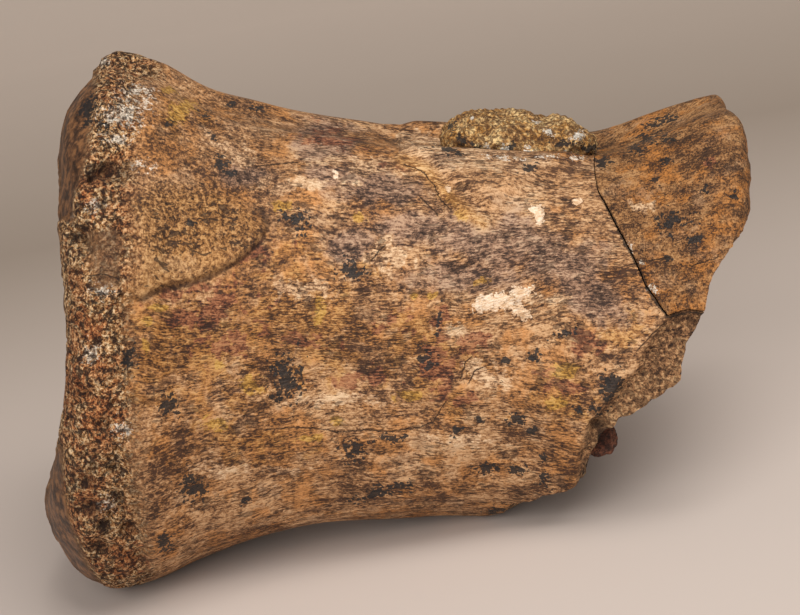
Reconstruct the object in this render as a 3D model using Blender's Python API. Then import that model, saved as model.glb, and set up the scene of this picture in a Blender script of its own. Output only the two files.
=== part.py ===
"""Tail vertebra of a large theropod, a fossil lying on a table as it comes to rest.

The bone is a waisted spool with a dished face at each end. One lower corner is broken off, the upper
corner of that end is a fragment glued back along a crack, and two lumps of rock matrix still hold on.
Everything is shaped in the bone's own frame: X along its length towards the broken end, Z up towards
the neural canal, Y across. The rest_pose empty then tips the bone down on its broken end and seats it.
"""

import math

import bpy
import numpy as np
from mathutils import Vector

MM = 0.001

# Outline of the bone as seen from its side: stations along X, then the height there, in millimetres.
DORSAL = ((-54, 33.4), (-46, 36.2), (-40, 37.4), (-34, 35.2), (-28, 32.0), (-20, 29.4), (-10, 27.4),
          (0, 26.1), (10, 25.5), (20, 24.8), (28, 25.2), (35, 27.3), (42, 30.0), (47, 31.2), (54, 31.6))
VENTRAL = ((-54, -34.4), (-47, -37.6), (-40, -40.0), (-35, -39.0), (-28, -35.9), (-20, -33.1),
           (-10, -30.7), (0, -29.7), (12, -29.5), (22, -30.2), (32, -31.8), (42, -33.6), (54, -34.6))
# Half width of the bone as seen from above, at the same kind of stations.
HALF_WIDTH = ((-54, 33.0), (-47, 34.2), (-41, 34.8), (-35, 33.0), (-28, 28.8), (-18, 25.0), (-6, 22.8),
              (6, 22.2), (18, 22.8), (28, 24.8), (37, 27.8), (44, 29.4), (54, 29.6))
# How boxy a cross-section is: 2 is an ellipse.
BOXINESS = ((-54, 2.05), (-38, 2.1), (-15, 2.35), (20, 2.4), (38, 2.2), (54, 2.1))

# Where each dished face ends, for every 45 degrees round the bone: near side, dorsal, far side, ventral.
LEFT_LIP = (-43.9, -45.4, -46.8, -47.0, -46.4, -48.6, -50.8, -48.4)
RIGHT_LIP = (43.8, 46.8, 47.4, 47.6, 46.6, 46.0, 46.0, 45.0)
LEFT_LIP_DEPTH, LEFT_LIP_SHARE = 7.5, 0.24
RIGHT_LIP_DEPTH, RIGHT_LIP_SHARE = 3.2, 0.16
LEFT_DISH, RIGHT_DISH = 5.5, 5.0

# Relief of the natural surface.
CANAL_DEPTH, CANAL_HALF_WIDTH = 2.4, 6.0
GROOVE_DEPTH, GROOVE_HALF_WIDTH = 1.6, 4.6
PAD_HEIGHT, PAD_SPAN, PAD_APEX = 1.0, (0.0, 28.5), (11.5, 18.0)
PAD_CORNER_Z = 24.6
SPALL_DEPTH = 1.3
# The edge of the cortex beside the spalled patch near the broken corner, as points in X and Z.
SPALL_EDGE = ((36.5, 7.4), (34.9, 6.3), (33.3, 4.7), (31.5, 1.7), (31.1, -1.1), (29.0, -2.8), (28.1, -4.9),
              (26.0, -7.7), (24.7, -9.9), (23.8, -14.4), (23.6, -18.0))
LUMP_SIZES = ((17.0, 0.55, 3), (7.0, 0.28, 11))
# The worn band of spongy bone round the larger end: where it stops, how deep it lies, its knobs and the
# hollows of the side shown, each with its place in X and Z, its radius and its depth.
BAND_EDGE, BAND_DEPTH = -33.0, 0.35
BAND_KNOBS = (4.6, 0.5, 91)
HOLLOWS = ((-37.7, 25.5, 2.0, 1.1), (-41.1, 17.5, 1.6, 0.9), (-39.7, -17.2, 1.9, 0.9),
           (-37.4, -20.8, 1.9, 1.0), (-40.3, -25.8, 1.9, 1.0), (-35.4, -24.0, 1.6, 0.8),
           (-37.8, -12.6, 1.7, 0.7), (-37.9, -5.9, 1.6, 0.6), (-40.5, -2.0, 1.6, 0.6),
           (-40.9, 32.2, 1.8, 0.7))
# The layer of outer bone that still lies beside the band: its height and its two edges in X and Z.
LAYER_HEIGHT = 0.5
LAYER_TOP = ((-38.0, 22.5), (-36.0, 23.6), (-31.2, 24.8), (-25.7, 23.6), (-21.0, 21.6), (-18.1, 19.1),
             (-17.2, 17.2))
LAYER_FOOT = ((-38.0, 9.6), (-33.3, 9.8), (-30.8, 10.8), (-27.3, 10.9), (-24.0, 11.7), (-20.9, 13.0),
              (-18.0, 15.5), (-17.2, 17.0))

# The lost corner: its broken edge from the upper lip down to the underside, as points in X and Z.
BREAK_EDGE = ((47.6, 20.6), (44.2, 16.6), (41.9, 13.6), (40.4, 10.9), (39.8, 6.8), (38.8, 4.6), (37.6, 2.4),
              (37.1, -2.3), (35.4, -4.0), (33.0, -6.2), (30.8, -7.9), (29.3, -8.8), (27.4, -11.4),
              (26.2, -14.0), (25.1, -16.3), (24.6, -19.0), (22.9, -20.8), (19.8, -21.9), (16.4, -24.6),
              (12.9, -27.6), (11.0, -29.4), (9.8, -32.4))
BREAK_ROUGHNESS, BREAK_LEAN = 0.9, 0.06

# The glued crack, from above the dorsal edge down to the lip: points in X and Z.
CRACK = ((28.6, 36.0), (27.4, 27.0), (26.4, 24.0), (26.7, 20.5), (28.1, 17.9), (30.2, 14.1), (32.3, 9.8),
         (34.9, 6.3), (37.6, 7.3), (40.2, 6.9), (52.0, 6.4))
CRACK_WANDER = 1.6
CRACK_GAP = (0.19, 0.29)

# Rock matrix: centre and half sizes in X, Y and Z, and the crust's humps: its height from end to end.
CRUST_CENTRE, CRUST_HALF_SIZE = (16.5, 0.0, 24.2), (10.9, 8.6, 4.4)
CRUST_HUMPS = ((-1.0, 1.1), (-0.68, 1.12), (-0.3, 1.03), (0.1, 1.0), (0.31, 0.78), (0.6, 0.93), (0.9, 0.66),
               (1.0, 0.6))
NODULE_CENTRE, NODULE_HALF_SIZE = (27.3, -14.0, -14.9), (3.1, 3.4, 2.6)
MATRIX_GAP = 0.3

# Rest: the bone tips about Y until its underside meets the table at both ends of its waist.
REST_TILT = math.radians(11.15)
REST_SHIFT = (2.0, 0.0, 30.45)

COLUMNS = 96
FACE_ROWS, LIP_ROWS, SIDE_ROWS = 7, 7, 31
SLICES, SLICE_REACH = 21, 42.0
OUTSIDE = 80.0


def knotted(x, knots):
    """Heights on a smooth curve through the knots, which are pairs of a place and a height."""
    places, heights = np.array(knots, float).T
    slopes = np.gradient(heights, places)
    k = np.clip(np.searchsorted(places, x) - 1, 0, len(places) - 2)
    step = places[k + 1] - places[k]
    t = np.clip((x - places[k]) / step, 0, 1)
    rise = heights[k + 1] - heights[k]
    start, end = slopes[k] * step, slopes[k + 1] * step
    return heights[k] + t * start + t * t * (3 * rise - 2 * start - end) + t ** 3 * (start + end - 2 * rise)


def around(angle, values):
    """A smooth closed curve through values that stand evenly round the bone."""
    count = len(values)
    turns = np.arange(-2, count + 3)
    return knotted(np.mod(angle, 2 * np.pi) / (2 * np.pi) * count,
                   tuple((int(turn), values[turn % count]) for turn in turns))


def lumps(points, cell, seed):
    """Smooth noise from -1 to 1: random values at the corners of cubic cells, blended inside each cell."""
    place = points / cell
    base = np.floor(place).astype(np.int64)
    blend = place - base
    blend = blend * blend * (3 - 2 * blend)
    total = np.zeros(points.shape[:-1])
    for corner in np.ndindex(2, 2, 2):
        key = (base + corner) @ np.array((374761393, 668265263, 2147483629)) + seed * 974634777
        key = (key ^ (key >> 13)) * 1274126177
        value = ((key ^ (key >> 16)) & 0xFFFF) / 32767.5 - 1
        weight = np.prod(np.where(np.array(corner) == 1, blend, 1 - blend), axis=-1)
        total += value * weight
    return total


def ramp(x):
    """0 below 0, 1 above 1 and an S curve between."""
    x = np.clip(x, 0, 1)
    return x * x * (3 - 2 * x)


def worn_end(points):
    """The band of spongy bone with its knobs and hollows, and the raised layer beside it.

    Both fade out above the underside, which rests on the table."""
    x, y, z = np.moveaxis(points, -1, 0)
    cell, height, seed = BAND_KNOBS
    band = ramp((BAND_EDGE - x) / 3.5) * (height * lumps(points, cell, seed) - BAND_DEPTH)
    for place_x, place_z, radius, depth in HOLLOWS:
        gap = np.hypot(x - place_x, z - place_z) / radius
        band = band - depth * np.exp(-gap ** 2) * (y < 0)
    top, foot = (np.interp(x, *np.array(edge).T) for edge in (LAYER_TOP, LAYER_FOOT))
    layer = LAYER_HEIGHT * ramp((top - z) / 3) * ramp((z - foot) / 1.5) * ramp((x + 39) / 3) * (y < 0)
    return (band + layer) * ramp((z + 34) / 4)


def natural_relief(points, side):
    """How far the unbroken surface stands out from its plain sections.

    It has the canal, groove, pads, spall, worn end and lumps."""
    x, y, z = np.moveaxis(points, -1, 0)
    canal = CANAL_DEPTH * np.exp(-(y / CANAL_HALF_WIDTH) ** 4) * ramp((z - 8) / 8)
    canal = canal * (1 - 0.6 * ramp((x - 36) / 10))
    groove = GROOVE_DEPTH * np.exp(-(y / GROOVE_HALF_WIDTH) ** 4) * ramp((-z - 8) / 8) * ramp((x + 44) / 12)
    low, high = PAD_SPAN
    apex_x, apex_z = PAD_APEX
    edge = np.interp(x, (low, apex_x, high), (PAD_CORNER_Z, apex_z, PAD_CORNER_Z))
    pad = PAD_HEIGHT * ramp((z - edge) / 1.6) * ramp((x - low + 3) / 3) * ramp((high + 3 - x) / 3)
    pad = pad * ramp((np.abs(y) - CANAL_HALF_WIDTH) / 2.5)
    spall_x, spall_z = np.array(SPALL_EDGE[::-1]).T
    past_edge = x - np.interp(z, spall_z, spall_x)
    spall = SPALL_DEPTH * ramp(past_edge / 1.4) * ramp(SPALL_EDGE[0][1] - z) * (y < 0)
    rough = sum(depth * lumps(points, cell, seed) for cell, depth, seed in LUMP_SIZES)
    return side * (pad - canal - groove - spall + worn_end(points)) + rough


def bone_grid(columns=COLUMNS, grown=0.0):
    """Points of the whole bone, before it broke, in rows from the left face over the side to the right face.

    A row is one ring round the bone. Each ring is a share of the outer section there, so that the faces,
    their rounded lips and the side are one surface."""
    angle = np.linspace(0, 2 * np.pi, columns, endpoint=False)[None, :]
    quarter = np.linspace(0, np.pi / 2, LIP_ROWS + 1)[:, None]
    inward = np.linspace(0, 1, FACE_ROWS + 2)[1:-1, None]
    along = np.linspace(0, 1, SIDE_ROWS)[:, None]
    left, right = around(angle, LEFT_LIP), around(angle, RIGHT_LIP)

    def face(lip, share, dish, way):
        rows = (1 - inward) * (1 - share)
        level = np.mean(lip) + (lip - np.mean(lip)) * (1 - inward)
        return level + way * dish * (1 - (1 - inward) ** 2) ** 1.5, rows + 0 * angle

    def lip_rows(lip, depth, share, way):
        return lip + way * depth * (1 - np.sin(quarter)), 1 - share * (1 - np.cos(quarter)) + 0 * angle

    left_face, left_share = face(left, LEFT_LIP_SHARE, LEFT_DISH, 1)
    left_turn, left_turn_share = lip_rows(left, LEFT_LIP_DEPTH, LEFT_LIP_SHARE, 1)
    right_turn, right_turn_share = lip_rows(right, RIGHT_LIP_DEPTH, RIGHT_LIP_SHARE, -1)
    right_face, right_share = face(right, RIGHT_LIP_SHARE, RIGHT_DISH, -1)
    start, end = left + LEFT_LIP_DEPTH, right - RIGHT_LIP_DEPTH
    side = start + (end - start) * along
    x = np.vstack([left_face[::-1], left_turn[::-1], side[1:-1], right_turn, right_face])
    share = np.vstack([left_share[::-1], left_turn_share[::-1], 1 + 0 * side[1:-1], right_turn_share,
                       right_share])
    return grown_out(sections(x, angle + 0 * x, share), share, grown)


def sections(x, angle, share):
    """Points at a share of the outer cross-section at x, a rounded box with its own top and bottom."""
    middle = (knotted(x, DORSAL) + knotted(x, VENTRAL)) / 2
    half_height = (knotted(x, DORSAL) - knotted(x, VENTRAL)) / 2
    power = 2 / knotted(x, BOXINESS)
    across = np.sign(np.cos(angle)) * np.abs(np.cos(angle)) ** power
    upward = np.sign(np.sin(angle)) * np.abs(np.sin(angle)) ** power
    y = -share * knotted(x, HALF_WIDTH) * across
    z = middle + share * half_height * upward
    return np.stack([x, y, z], axis=-1)


def outward_of(points):
    """Unit normals of a grid of rings, from its neighbours along and round the bone."""
    along = np.gradient(points, axis=0)
    round_it = np.roll(points, -1, axis=1) - np.roll(points, 1, axis=1)
    normal = np.cross(along, round_it)
    return normal / np.linalg.norm(normal, axis=-1, keepdims=True)


def grown_out(points, share, grown):
    """The grid with its relief added along the normals, and swollen by the clearance that a cutter needs."""
    outward = outward_of(points)
    side = ramp((share - 0.7) / 0.25)
    return points + outward * (natural_relief(points, side) + grown)[..., None]


def mesh_of_rings(name, rings):
    """A closed mesh from rings of points in millimetres, with a pole at the middle of the first and last."""
    rows, columns = rings.shape[:2]
    poles = [rings[0].mean(axis=0), rings[-1].mean(axis=0)]
    points = np.vstack([rings.reshape(-1, 3), poles]) * MM
    first, last = rows * columns, rows * columns + 1
    faces = []
    for j in range(columns):
        k = (j + 1) % columns
        faces.append((first, j, k))
        faces.append((last, (rows - 1) * columns + k, (rows - 1) * columns + j))
        for i in range(rows - 1):
            corners = (i * columns + j, (i + 1) * columns + j, (i + 1) * columns + k, i * columns + k)
            faces.append(corners[:3])
            faces.append((corners[0], corners[2], corners[3]))
    mesh = bpy.data.meshes.new(name)
    mesh.from_pydata([tuple(p) for p in points], [], faces)
    mesh.shade_smooth()
    return mesh


def add_object(name, mesh, parent):
    """One object with its mesh, under the rest pose."""
    thing = bpy.data.objects.new(name, mesh)
    bpy.context.scene.collection.objects.link(thing)
    thing.parent = parent
    return thing


def as_cutter(thing):
    """Marks an object as a tool that shapes others and isn't part of the fossil."""
    thing.hide_render = True
    thing.display_type = "WIRE"
    return thing


def cut(thing, cutter, operation="DIFFERENCE"):
    """Adds one live Boolean to an object."""
    boolean = thing.modifiers.new(f"{operation.lower()} {cutter.name}", "BOOLEAN")
    boolean.operation = operation
    boolean.object = cutter
    boolean.solver = "EXACT"


def extruded_zone(name, outline, bend, parent):
    """A closed block whose side follows an outline in X and Z, drawn across the bone in bent slices."""
    reach = np.linspace(-SLICE_REACH, SLICE_REACH, SLICES)
    flat = np.array([(x, 0.0, z) for x, z in outline])
    rings = np.stack([bend(flat + (0.0, y, 0.0)) for y in reach])
    return as_cutter(add_object(name, mesh_of_rings(name, rings), parent))


def break_bend(points):
    """Leans the break back with depth and roughens it, more in the middle of the bone than at its skin."""
    x, y, z = points.T
    inside = (np.abs(x) < OUTSIDE) & (np.abs(z) < OUTSIDE)
    rough = BREAK_ROUGHNESS * lumps(points, 5.0, 31) * ramp((y + 26) / 12) * inside
    lean = BREAK_LEAN * (y + 22) * inside
    return points + np.stack([rough + lean, 0 * x, -0.6 * rough], axis=-1)


def crack_bend(shift):
    """The crack's own wandering with depth, moved aside by half of its gap."""
    def bend(points):
        x, y, z = points.T
        wander = CRACK_WANDER * (lumps(points * (0, 1, 0) + (3.3, 0, 7.7), 14.0, 5) - 0.15)
        wander = wander * ramp((y + 22) / 12) * (np.abs(x) < OUTSIDE)
        aside = [wander + shift * CRACK_GAP[0], 0 * x, 0 * z + shift * CRACK_GAP[1]]
        return points + np.stack(aside, axis=-1)
    return bend


def refined(edge, longest=3.2):
    """An outline with its long stretches divided, so that a bent block can follow them."""
    points = [np.array(edge[0], float)]
    for a, b in zip(edge[:-1], edge[1:]):
        a, b = np.array(a, float), np.array(b, float)
        pieces = max(1, math.ceil(np.linalg.norm(b - a) / longest))
        points += [a + (b - a) * (i + 1) / pieces for i in range(pieces)]
    return [tuple(p) for p in points]


def make_break(parent):
    """The tool that takes the lost corner away."""
    outline = refined(BREAK_EDGE) + [(BREAK_EDGE[-1][0], -OUTSIDE), (OUTSIDE, -OUTSIDE), (OUTSIDE, 20.6)]
    return extruded_zone("lost_corner", outline, break_bend, parent)


def make_crack_side(name, shift, parent):
    """The zone of the glued fragment, on one side of the crack's gap."""
    outline = refined(CRACK) + [(OUTSIDE, CRACK[-1][1]), (OUTSIDE, OUTSIDE), (CRACK[0][0], OUTSIDE)]
    return extruded_zone(name, outline, crack_bend(shift), parent)


def make_blob(name, centre, half_size, detail, rough, squareness, parent, grown=0.0, humps=None):
    """A lumpy closed blob with rounded sides, as rock matrix breaks, and with humps along it if given."""
    rows, columns = detail
    polar = np.linspace(0, np.pi, rows + 2)[1:-1, None]
    angle = np.linspace(0, 2 * np.pi, columns, endpoint=False)[None, :]
    power = 2 / squareness

    def eased(values):
        return np.sign(values) * np.abs(values) ** power

    unit = np.stack([-eased(np.cos(polar)) + 0 * angle, -eased(np.sin(polar)) * eased(np.cos(angle)),
                     eased(np.sin(polar)) * eased(np.sin(angle))], axis=-1)
    if humps:
        unit[..., 2] *= knotted(unit[..., 0], humps)
    points = np.array(centre) + unit * (np.array(half_size) + grown)
    swell = rough * (lumps(points, 4.5, 71) + 0.5 * lumps(points, 2.2, 72))
    points = points + unit * swell[..., None]
    return add_object(name, mesh_of_rings(name, points), parent)


def make_floor_cutter():
    """A slab whose top is the table: it flattens the spots that the bone stands on."""
    size = 0.4
    bpy.ops.mesh.primitive_cube_add(size=size, location=(0, 0, -size / 2))
    slab = bpy.context.object
    slab.name = "table_top"
    return as_cutter(slab)


def stone(name, colour, roughness):
    """A plain rock-like material."""
    material = bpy.data.materials.new(name)
    material.use_nodes = True
    shader = material.node_tree.nodes["Principled BSDF"]
    shader.inputs["Base Color"].default_value = (*colour, 1.0)
    shader.inputs["Roughness"].default_value = roughness
    shader.inputs["Metallic"].default_value = 0.0
    return material


def make_bone(parent, tools):
    """The two pieces of bone: the main centrum and the glued end fragment, cut from one whole."""
    bone_material = stone("fossil_bone", (0.36, 0.20, 0.11), 0.7)
    fragment_material = stone("fragment_bone", (0.40, 0.21, 0.08), 0.62)
    centrum = add_object("centrum", mesh_of_rings("centrum", bone_grid()), parent)
    fragment = add_object("end_fragment", centrum.data.copy(), parent)
    centrum.data.materials.append(bone_material)
    fragment.data.materials.append(fragment_material)
    cut(centrum, tools["break"])
    cut(centrum, tools["crack_near"])
    cut(centrum, tools["socket"])
    cut(centrum, tools["floor"])
    cut(fragment, tools["crack_far"], "INTERSECT")
    cut(fragment, tools["break"])
    return centrum, fragment


def make_matrix(parent, tools):
    """The crust over the neural canal and the nodule in the broken corner."""
    crust = make_blob("matrix_crust", CRUST_CENTRE, CRUST_HALF_SIZE, (21, 30), 0.7, 2.5, parent,
                      humps=CRUST_HUMPS)
    crust.data.materials.append(stone("matrix_rock", (0.42, 0.28, 0.14), 0.9))
    cut(crust, tools["bone_clearance"])
    nodule = make_blob("matrix_nodule", NODULE_CENTRE, NODULE_HALF_SIZE, (9, 14), 0.35, 2.0, parent)
    nodule.data.materials.append(stone("nodule_rock", (0.24, 0.10, 0.05), 0.8))
    return crust, nodule


def main():
    """Clears the scene and builds the fossil at rest, with Z up and the table at Z = 0."""
    for thing in list(bpy.data.objects):
        bpy.data.objects.remove(thing)
    rest_pose = bpy.data.objects.new("rest_pose", None)
    bpy.context.scene.collection.objects.link(rest_pose)
    rest_pose.rotation_euler = (0, REST_TILT, 0)
    rest_pose.location = Vector(REST_SHIFT) * MM
    clearance = mesh_of_rings("bone_clearance", bone_grid(grown=MATRIX_GAP))
    tools = {
        "break": make_break(rest_pose),
        "crack_near": make_crack_side("crack_near", -0.5, rest_pose),
        "crack_far": make_crack_side("crack_far", 0.5, rest_pose),
        "socket": as_cutter(make_blob("nodule_socket", NODULE_CENTRE, NODULE_HALF_SIZE, (9, 14), 0.35, 2.0,
                                      rest_pose, grown=MATRIX_GAP)),
        "bone_clearance": as_cutter(add_object("bone_clearance", clearance, rest_pose)),
        "floor": make_floor_cutter(),
    }
    make_bone(rest_pose, tools)
    make_matrix(rest_pose, tools)


main()
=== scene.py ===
"""Looks of a fossil theropod tail vertebra that lies on a pale studio floor.

The bone is worked out in its own frame in millimetres, X along it towards the broken end, Z up towards the
neural canal and Y away from the side shown, and is then tipped into its resting pose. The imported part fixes
the sizes: each piece here is a finer skin over the solid that it replaces.
"""

import logging
import math
from collections.abc import Callable
from dataclasses import dataclass
from enum import Enum
from functools import cached_property, partial, reduce

import bmesh
import bpy
import numpy as np
from mathutils import Matrix


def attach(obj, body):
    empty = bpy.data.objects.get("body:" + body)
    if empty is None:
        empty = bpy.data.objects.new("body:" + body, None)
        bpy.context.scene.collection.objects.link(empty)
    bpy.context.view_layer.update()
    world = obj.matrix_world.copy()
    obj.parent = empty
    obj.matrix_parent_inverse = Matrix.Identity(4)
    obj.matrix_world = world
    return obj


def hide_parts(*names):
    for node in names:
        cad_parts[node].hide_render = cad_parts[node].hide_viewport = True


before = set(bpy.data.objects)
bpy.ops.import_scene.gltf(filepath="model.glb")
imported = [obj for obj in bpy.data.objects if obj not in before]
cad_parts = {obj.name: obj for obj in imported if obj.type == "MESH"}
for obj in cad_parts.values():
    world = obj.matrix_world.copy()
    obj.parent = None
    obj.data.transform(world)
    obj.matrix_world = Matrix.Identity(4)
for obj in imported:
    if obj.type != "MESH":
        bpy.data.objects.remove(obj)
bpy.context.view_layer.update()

logging.basicConfig(level=logging.INFO, format="%(message)s")
LOG = logging.getLogger("vertebra")

Array = np.ndarray
Pair = tuple[float, float]
Triple = tuple[float, float, float]
Outline = tuple[Pair, ...]
Rgb = tuple[int, int, int]
Tones = tuple[Rgb, Rgb, Rgb, Rgb]
Cut = tuple[str, bpy.types.Mesh]
MM = 0.001
SHARP_ANGLE = math.radians(62)
FAR_OUT = -2.0


# Plain mathematics that every piece shares

def ramp(x: Array) -> Array:
    """0 below 0, 1 above 1 and the S curve 3x2 - 2x3 between."""
    x = np.clip(x, 0.0, 1.0)
    return x * x * (3.0 - 2.0 * x)


def bell(x: Array) -> Array:
    """The bell curve e to the power -x2."""
    return np.exp(-x ** 2)


def parts(points: Array) -> Array:
    """The coordinates of points as arrays of their own."""
    return np.moveaxis(points, -1, 0)


def knotted(x: Array, knots: tuple[Pair, ...]) -> Array:
    """Heights on a smooth curve through knots: a cubic between neighbours whose slopes are the mean ones.

    Args:
        x: Places along the bone in millimetres.
        knots: Pairs of a place and the height there.

    Returns:
        The height at each place.
    """
    places, heights = np.array(knots, float).T
    slopes = np.gradient(heights, places)
    k = np.clip(np.searchsorted(places, x) - 1, 0, len(places) - 2)
    step = places[k + 1] - places[k]
    t = np.clip((x - places[k]) / step, 0, 1)
    rise = heights[k + 1] - heights[k]
    start, end = slopes[k] * step, slopes[k + 1] * step
    return heights[k] + t * start + t * t * (3 * rise - 2 * start - end) + t ** 3 * (start + end - 2 * rise)


def around(angle: Array, values: tuple[float, ...]) -> Array:
    """A smooth closed curve through values that stand evenly round the bone, repeated past both ends.

    Args:
        angle: Angles in radians.
        values: The curve's height at each of the even angles.

    Returns:
        The height at each angle.
    """
    count = len(values)
    knots = tuple((float(turn), values[turn % count]) for turn in range(-2, count + 3))
    return knotted(np.mod(angle, 2 * np.pi) / (2 * np.pi) * count, knots)


def cell_values(key: Array, seed: int) -> Array:
    """Random numbers that are the same each run: products with large primes, their bits mixed twice.

    Args:
        key: Whole-number cells, with the coordinates last.
        seed: Number that picks one of many draws.

    Returns:
        A number from -1 to 1 for each cell.
    """
    mixed = key @ np.array((374761393, 668265263, 2147483629)) + seed * 974634777
    mixed = (mixed ^ (mixed >> 13)) * 1274126177
    return ((mixed ^ (mixed >> 16)) & 0xFFFF) / 32767.5 - 1.0


def lumps(points: Array, cell: float, seed: int) -> Array:
    """Smooth noise from -1 to 1: random values at the corners of cubic cells, blended inside each cell.

    Args:
        points: Points in millimetres, with the coordinates last.
        cell: Side of a cell in millimetres.
        seed: Number that picks one of many such noises.

    Returns:
        One value for each point.
    """
    place = points / cell
    base = np.floor(place).astype(np.int64)
    blend = ramp(place - base)
    total = np.zeros(points.shape[:-1])
    for corner in np.ndindex(2, 2, 2):
        weight = np.prod(np.where(np.array(corner) == 1, blend, 1 - blend), axis=-1)
        total += cell_values(base + corner, seed) * weight
    return total


def layered(points: Array, cell: float, seed: int, layers: int = 3) -> Array:
    """Lumps added to ever finer ones, each of half the size and 0.55 of the height."""
    sizes = [0.55 ** k for k in range(layers)]
    return sum(share * lumps(points, cell / 2 ** k, seed + k) for k, share in enumerate(sizes)) / sum(sizes)


def nearest_seed(points: Array, cell: float, seed: int) -> Array:
    """Distance, in cells, to the nearest of random seeds that stand one in each cubic cell.

    Args:
        points: Points in millimetres, with the coordinates last.
        cell: Side of a cell in millimetres.
        seed: Number that picks the first of three draws, one for each axis.

    Returns:
        The distance for each point.
    """
    place = points / cell
    base = np.floor(place).astype(np.int64)
    best = np.full(points.shape[:-1], 9.0)
    for offset in np.ndindex(3, 3, 3):
        key = base + np.array(offset) - 1
        spot = np.stack([cell_values(key, seed + axis) * 0.45 + 0.5 for axis in range(3)], axis=-1) + key
        best = np.minimum(best, np.linalg.norm(place - spot, axis=-1))
    return best


def holes(points: Array, cell: float, seed: int, edge: float, slope: float) -> Array:
    """Round hollows about random seeds: 1 in their middles, falling over slope to 0 at edge, in cells."""
    return ramp((edge - nearest_seed(points, cell, seed)) / slope)


def signed_distance(spots: Array, line: Outline) -> tuple[Array, Array]:
    """How far spots on a plane are from a bent line, with the side that they are on.

    Each stretch gives the distance to its nearest point, and the cross product with it gives the side.

    Args:
        spots: Places on the plane, with the two coordinates last.
        line: Corners of the line.

    Returns:
        The distance, negative on the line's right side, and 1 where the nearest point isn't an end.
    """
    best = np.full(spots.shape[:-1], 1e9)
    signed, inner = best.copy(), np.ones(spots.shape[:-1])
    corners = np.array(line, float)
    for k in range(len(corners) - 1):
        along = corners[k + 1] - corners[k]
        from_start = spots - corners[k]
        t = from_start @ along / (along @ along)
        gap = np.linalg.norm(from_start - np.clip(t, 0, 1)[..., None] * along, axis=-1)
        side = np.sign(along[0] * from_start[..., 1] - along[1] * from_start[..., 0])
        closer = gap < best
        past_end = ((t < 0) & (k == 0)) | ((t > 1) & (k == len(corners) - 2))
        signed = np.where(closer, gap * side, signed)
        inner = np.where(closer, np.where(past_end, 0.0, 1.0), inner)
        best = np.minimum(best, gap)
    return signed, inner


def inside_outline(spots: Array, outline: Outline, feather: float) -> Array:
    """A closed outline's inside with a soft border: a ray to the right crosses it an odd number of times.

    Args:
        spots: Places on the plane, with the two coordinates last.
        outline: Its corners.
        feather: Width of the border.

    Returns:
        1 inside and 0 outside.
    """
    closed = outline + outline[:1]
    distance = np.abs(signed_distance(spots, closed)[0])
    x, y = parts(spots)
    crossings = np.zeros(spots.shape[:-1], int)
    for (ax, ay), (bx, by) in zip(closed[:-1], closed[1:]):
        reach = ax + (y - ay) * (bx - ax) / (by - ay if by != ay else 1e-9)
        crossings += ((ay > y) != (by > y)) & (x < reach)
    signed = np.where(crossings % 2 == 1, distance, -distance)
    return ramp(signed / feather + 0.5)


@dataclass(frozen=True)
class RestPose:
    """How the bone lies: tipped about Y onto its broken end, then set on the floor."""

    tilt: float = math.radians(11.15)
    shift: Triple = (2.0, 0.0, 30.45)

    def turn(self) -> Array:
        """The turn about Y as a matrix."""
        c, s = math.cos(self.tilt), math.sin(self.tilt)
        return np.array([[c, 0.0, s], [0.0, 1.0, 0.0], [-s, 0.0, c]])

    def place(self, points: Array) -> Array:
        """Points of the bone's own frame, in millimetres, at rest on the floor in metres.

        Args:
            points: Points of the bone's own frame.

        Returns:
            The same points turned, moved and never below the floor.
        """
        placed = (points @ self.turn().T + np.array(self.shift)) * MM
        placed[..., 2] = np.maximum(placed[..., 2], 0.0)
        return placed

    def own_frame(self, points: Array) -> Array:
        """The way back: points at rest in metres as points of the bone's own frame in millimetres."""
        return (points / MM - np.array(self.shift)) @ self.turn()


@dataclass(frozen=True)
class SideView:
    """The side that the bone shows, seen from a little above, as an 800 by 615 picture."""

    distance: float = 310.0
    elevation: float = math.radians(16.0)
    pixels_per_mm: float = 7.0
    centre: Pair = (400.0, 307.5)

    def eye(self) -> Array:
        """Where the eye is in the bone's own frame."""
        return -self.distance * self.ahead()

    def ahead(self) -> Array:
        """The direction of sight."""
        return np.array([0.0, math.cos(self.elevation), -math.sin(self.elevation)])

    def upward(self) -> Array:
        """The direction that is up in the picture."""
        return np.array([0.0, math.sin(self.elevation), math.cos(self.elevation)])

    def spots(self, points: Array) -> Array:
        """Where points fall in the picture: their offset across the line of sight, shrunk with their depth.

        Args:
            points: Points of the bone's own frame.

        Returns:
            Their columns and rows in the picture.
        """
        offset = points - self.eye()
        scale = self.pixels_per_mm * self.distance / (offset @ self.ahead())
        return np.stack([self.centre[0] + scale * offset[..., 0],
                         self.centre[1] - scale * (offset @ self.upward())], axis=-1)

    def facing(self, points: Array, normals: Array) -> Array:
        """1 where the surface turns to the eye and 0 where it turns away.

        Args:
            points: Points of the surface.
            normals: Their unit normals.

        Returns:
            A smooth step of the cosine between the normal and the way to the eye.
        """
        toward = self.eye() - points
        toward /= np.linalg.norm(toward, axis=-1, keepdims=True)
        return ramp((np.sum(toward * normals, axis=-1) + 0.12) / 0.2)


REST = RestPose()
VIEW = SideView()


# The shape of the bone, as the solids have it

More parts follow.
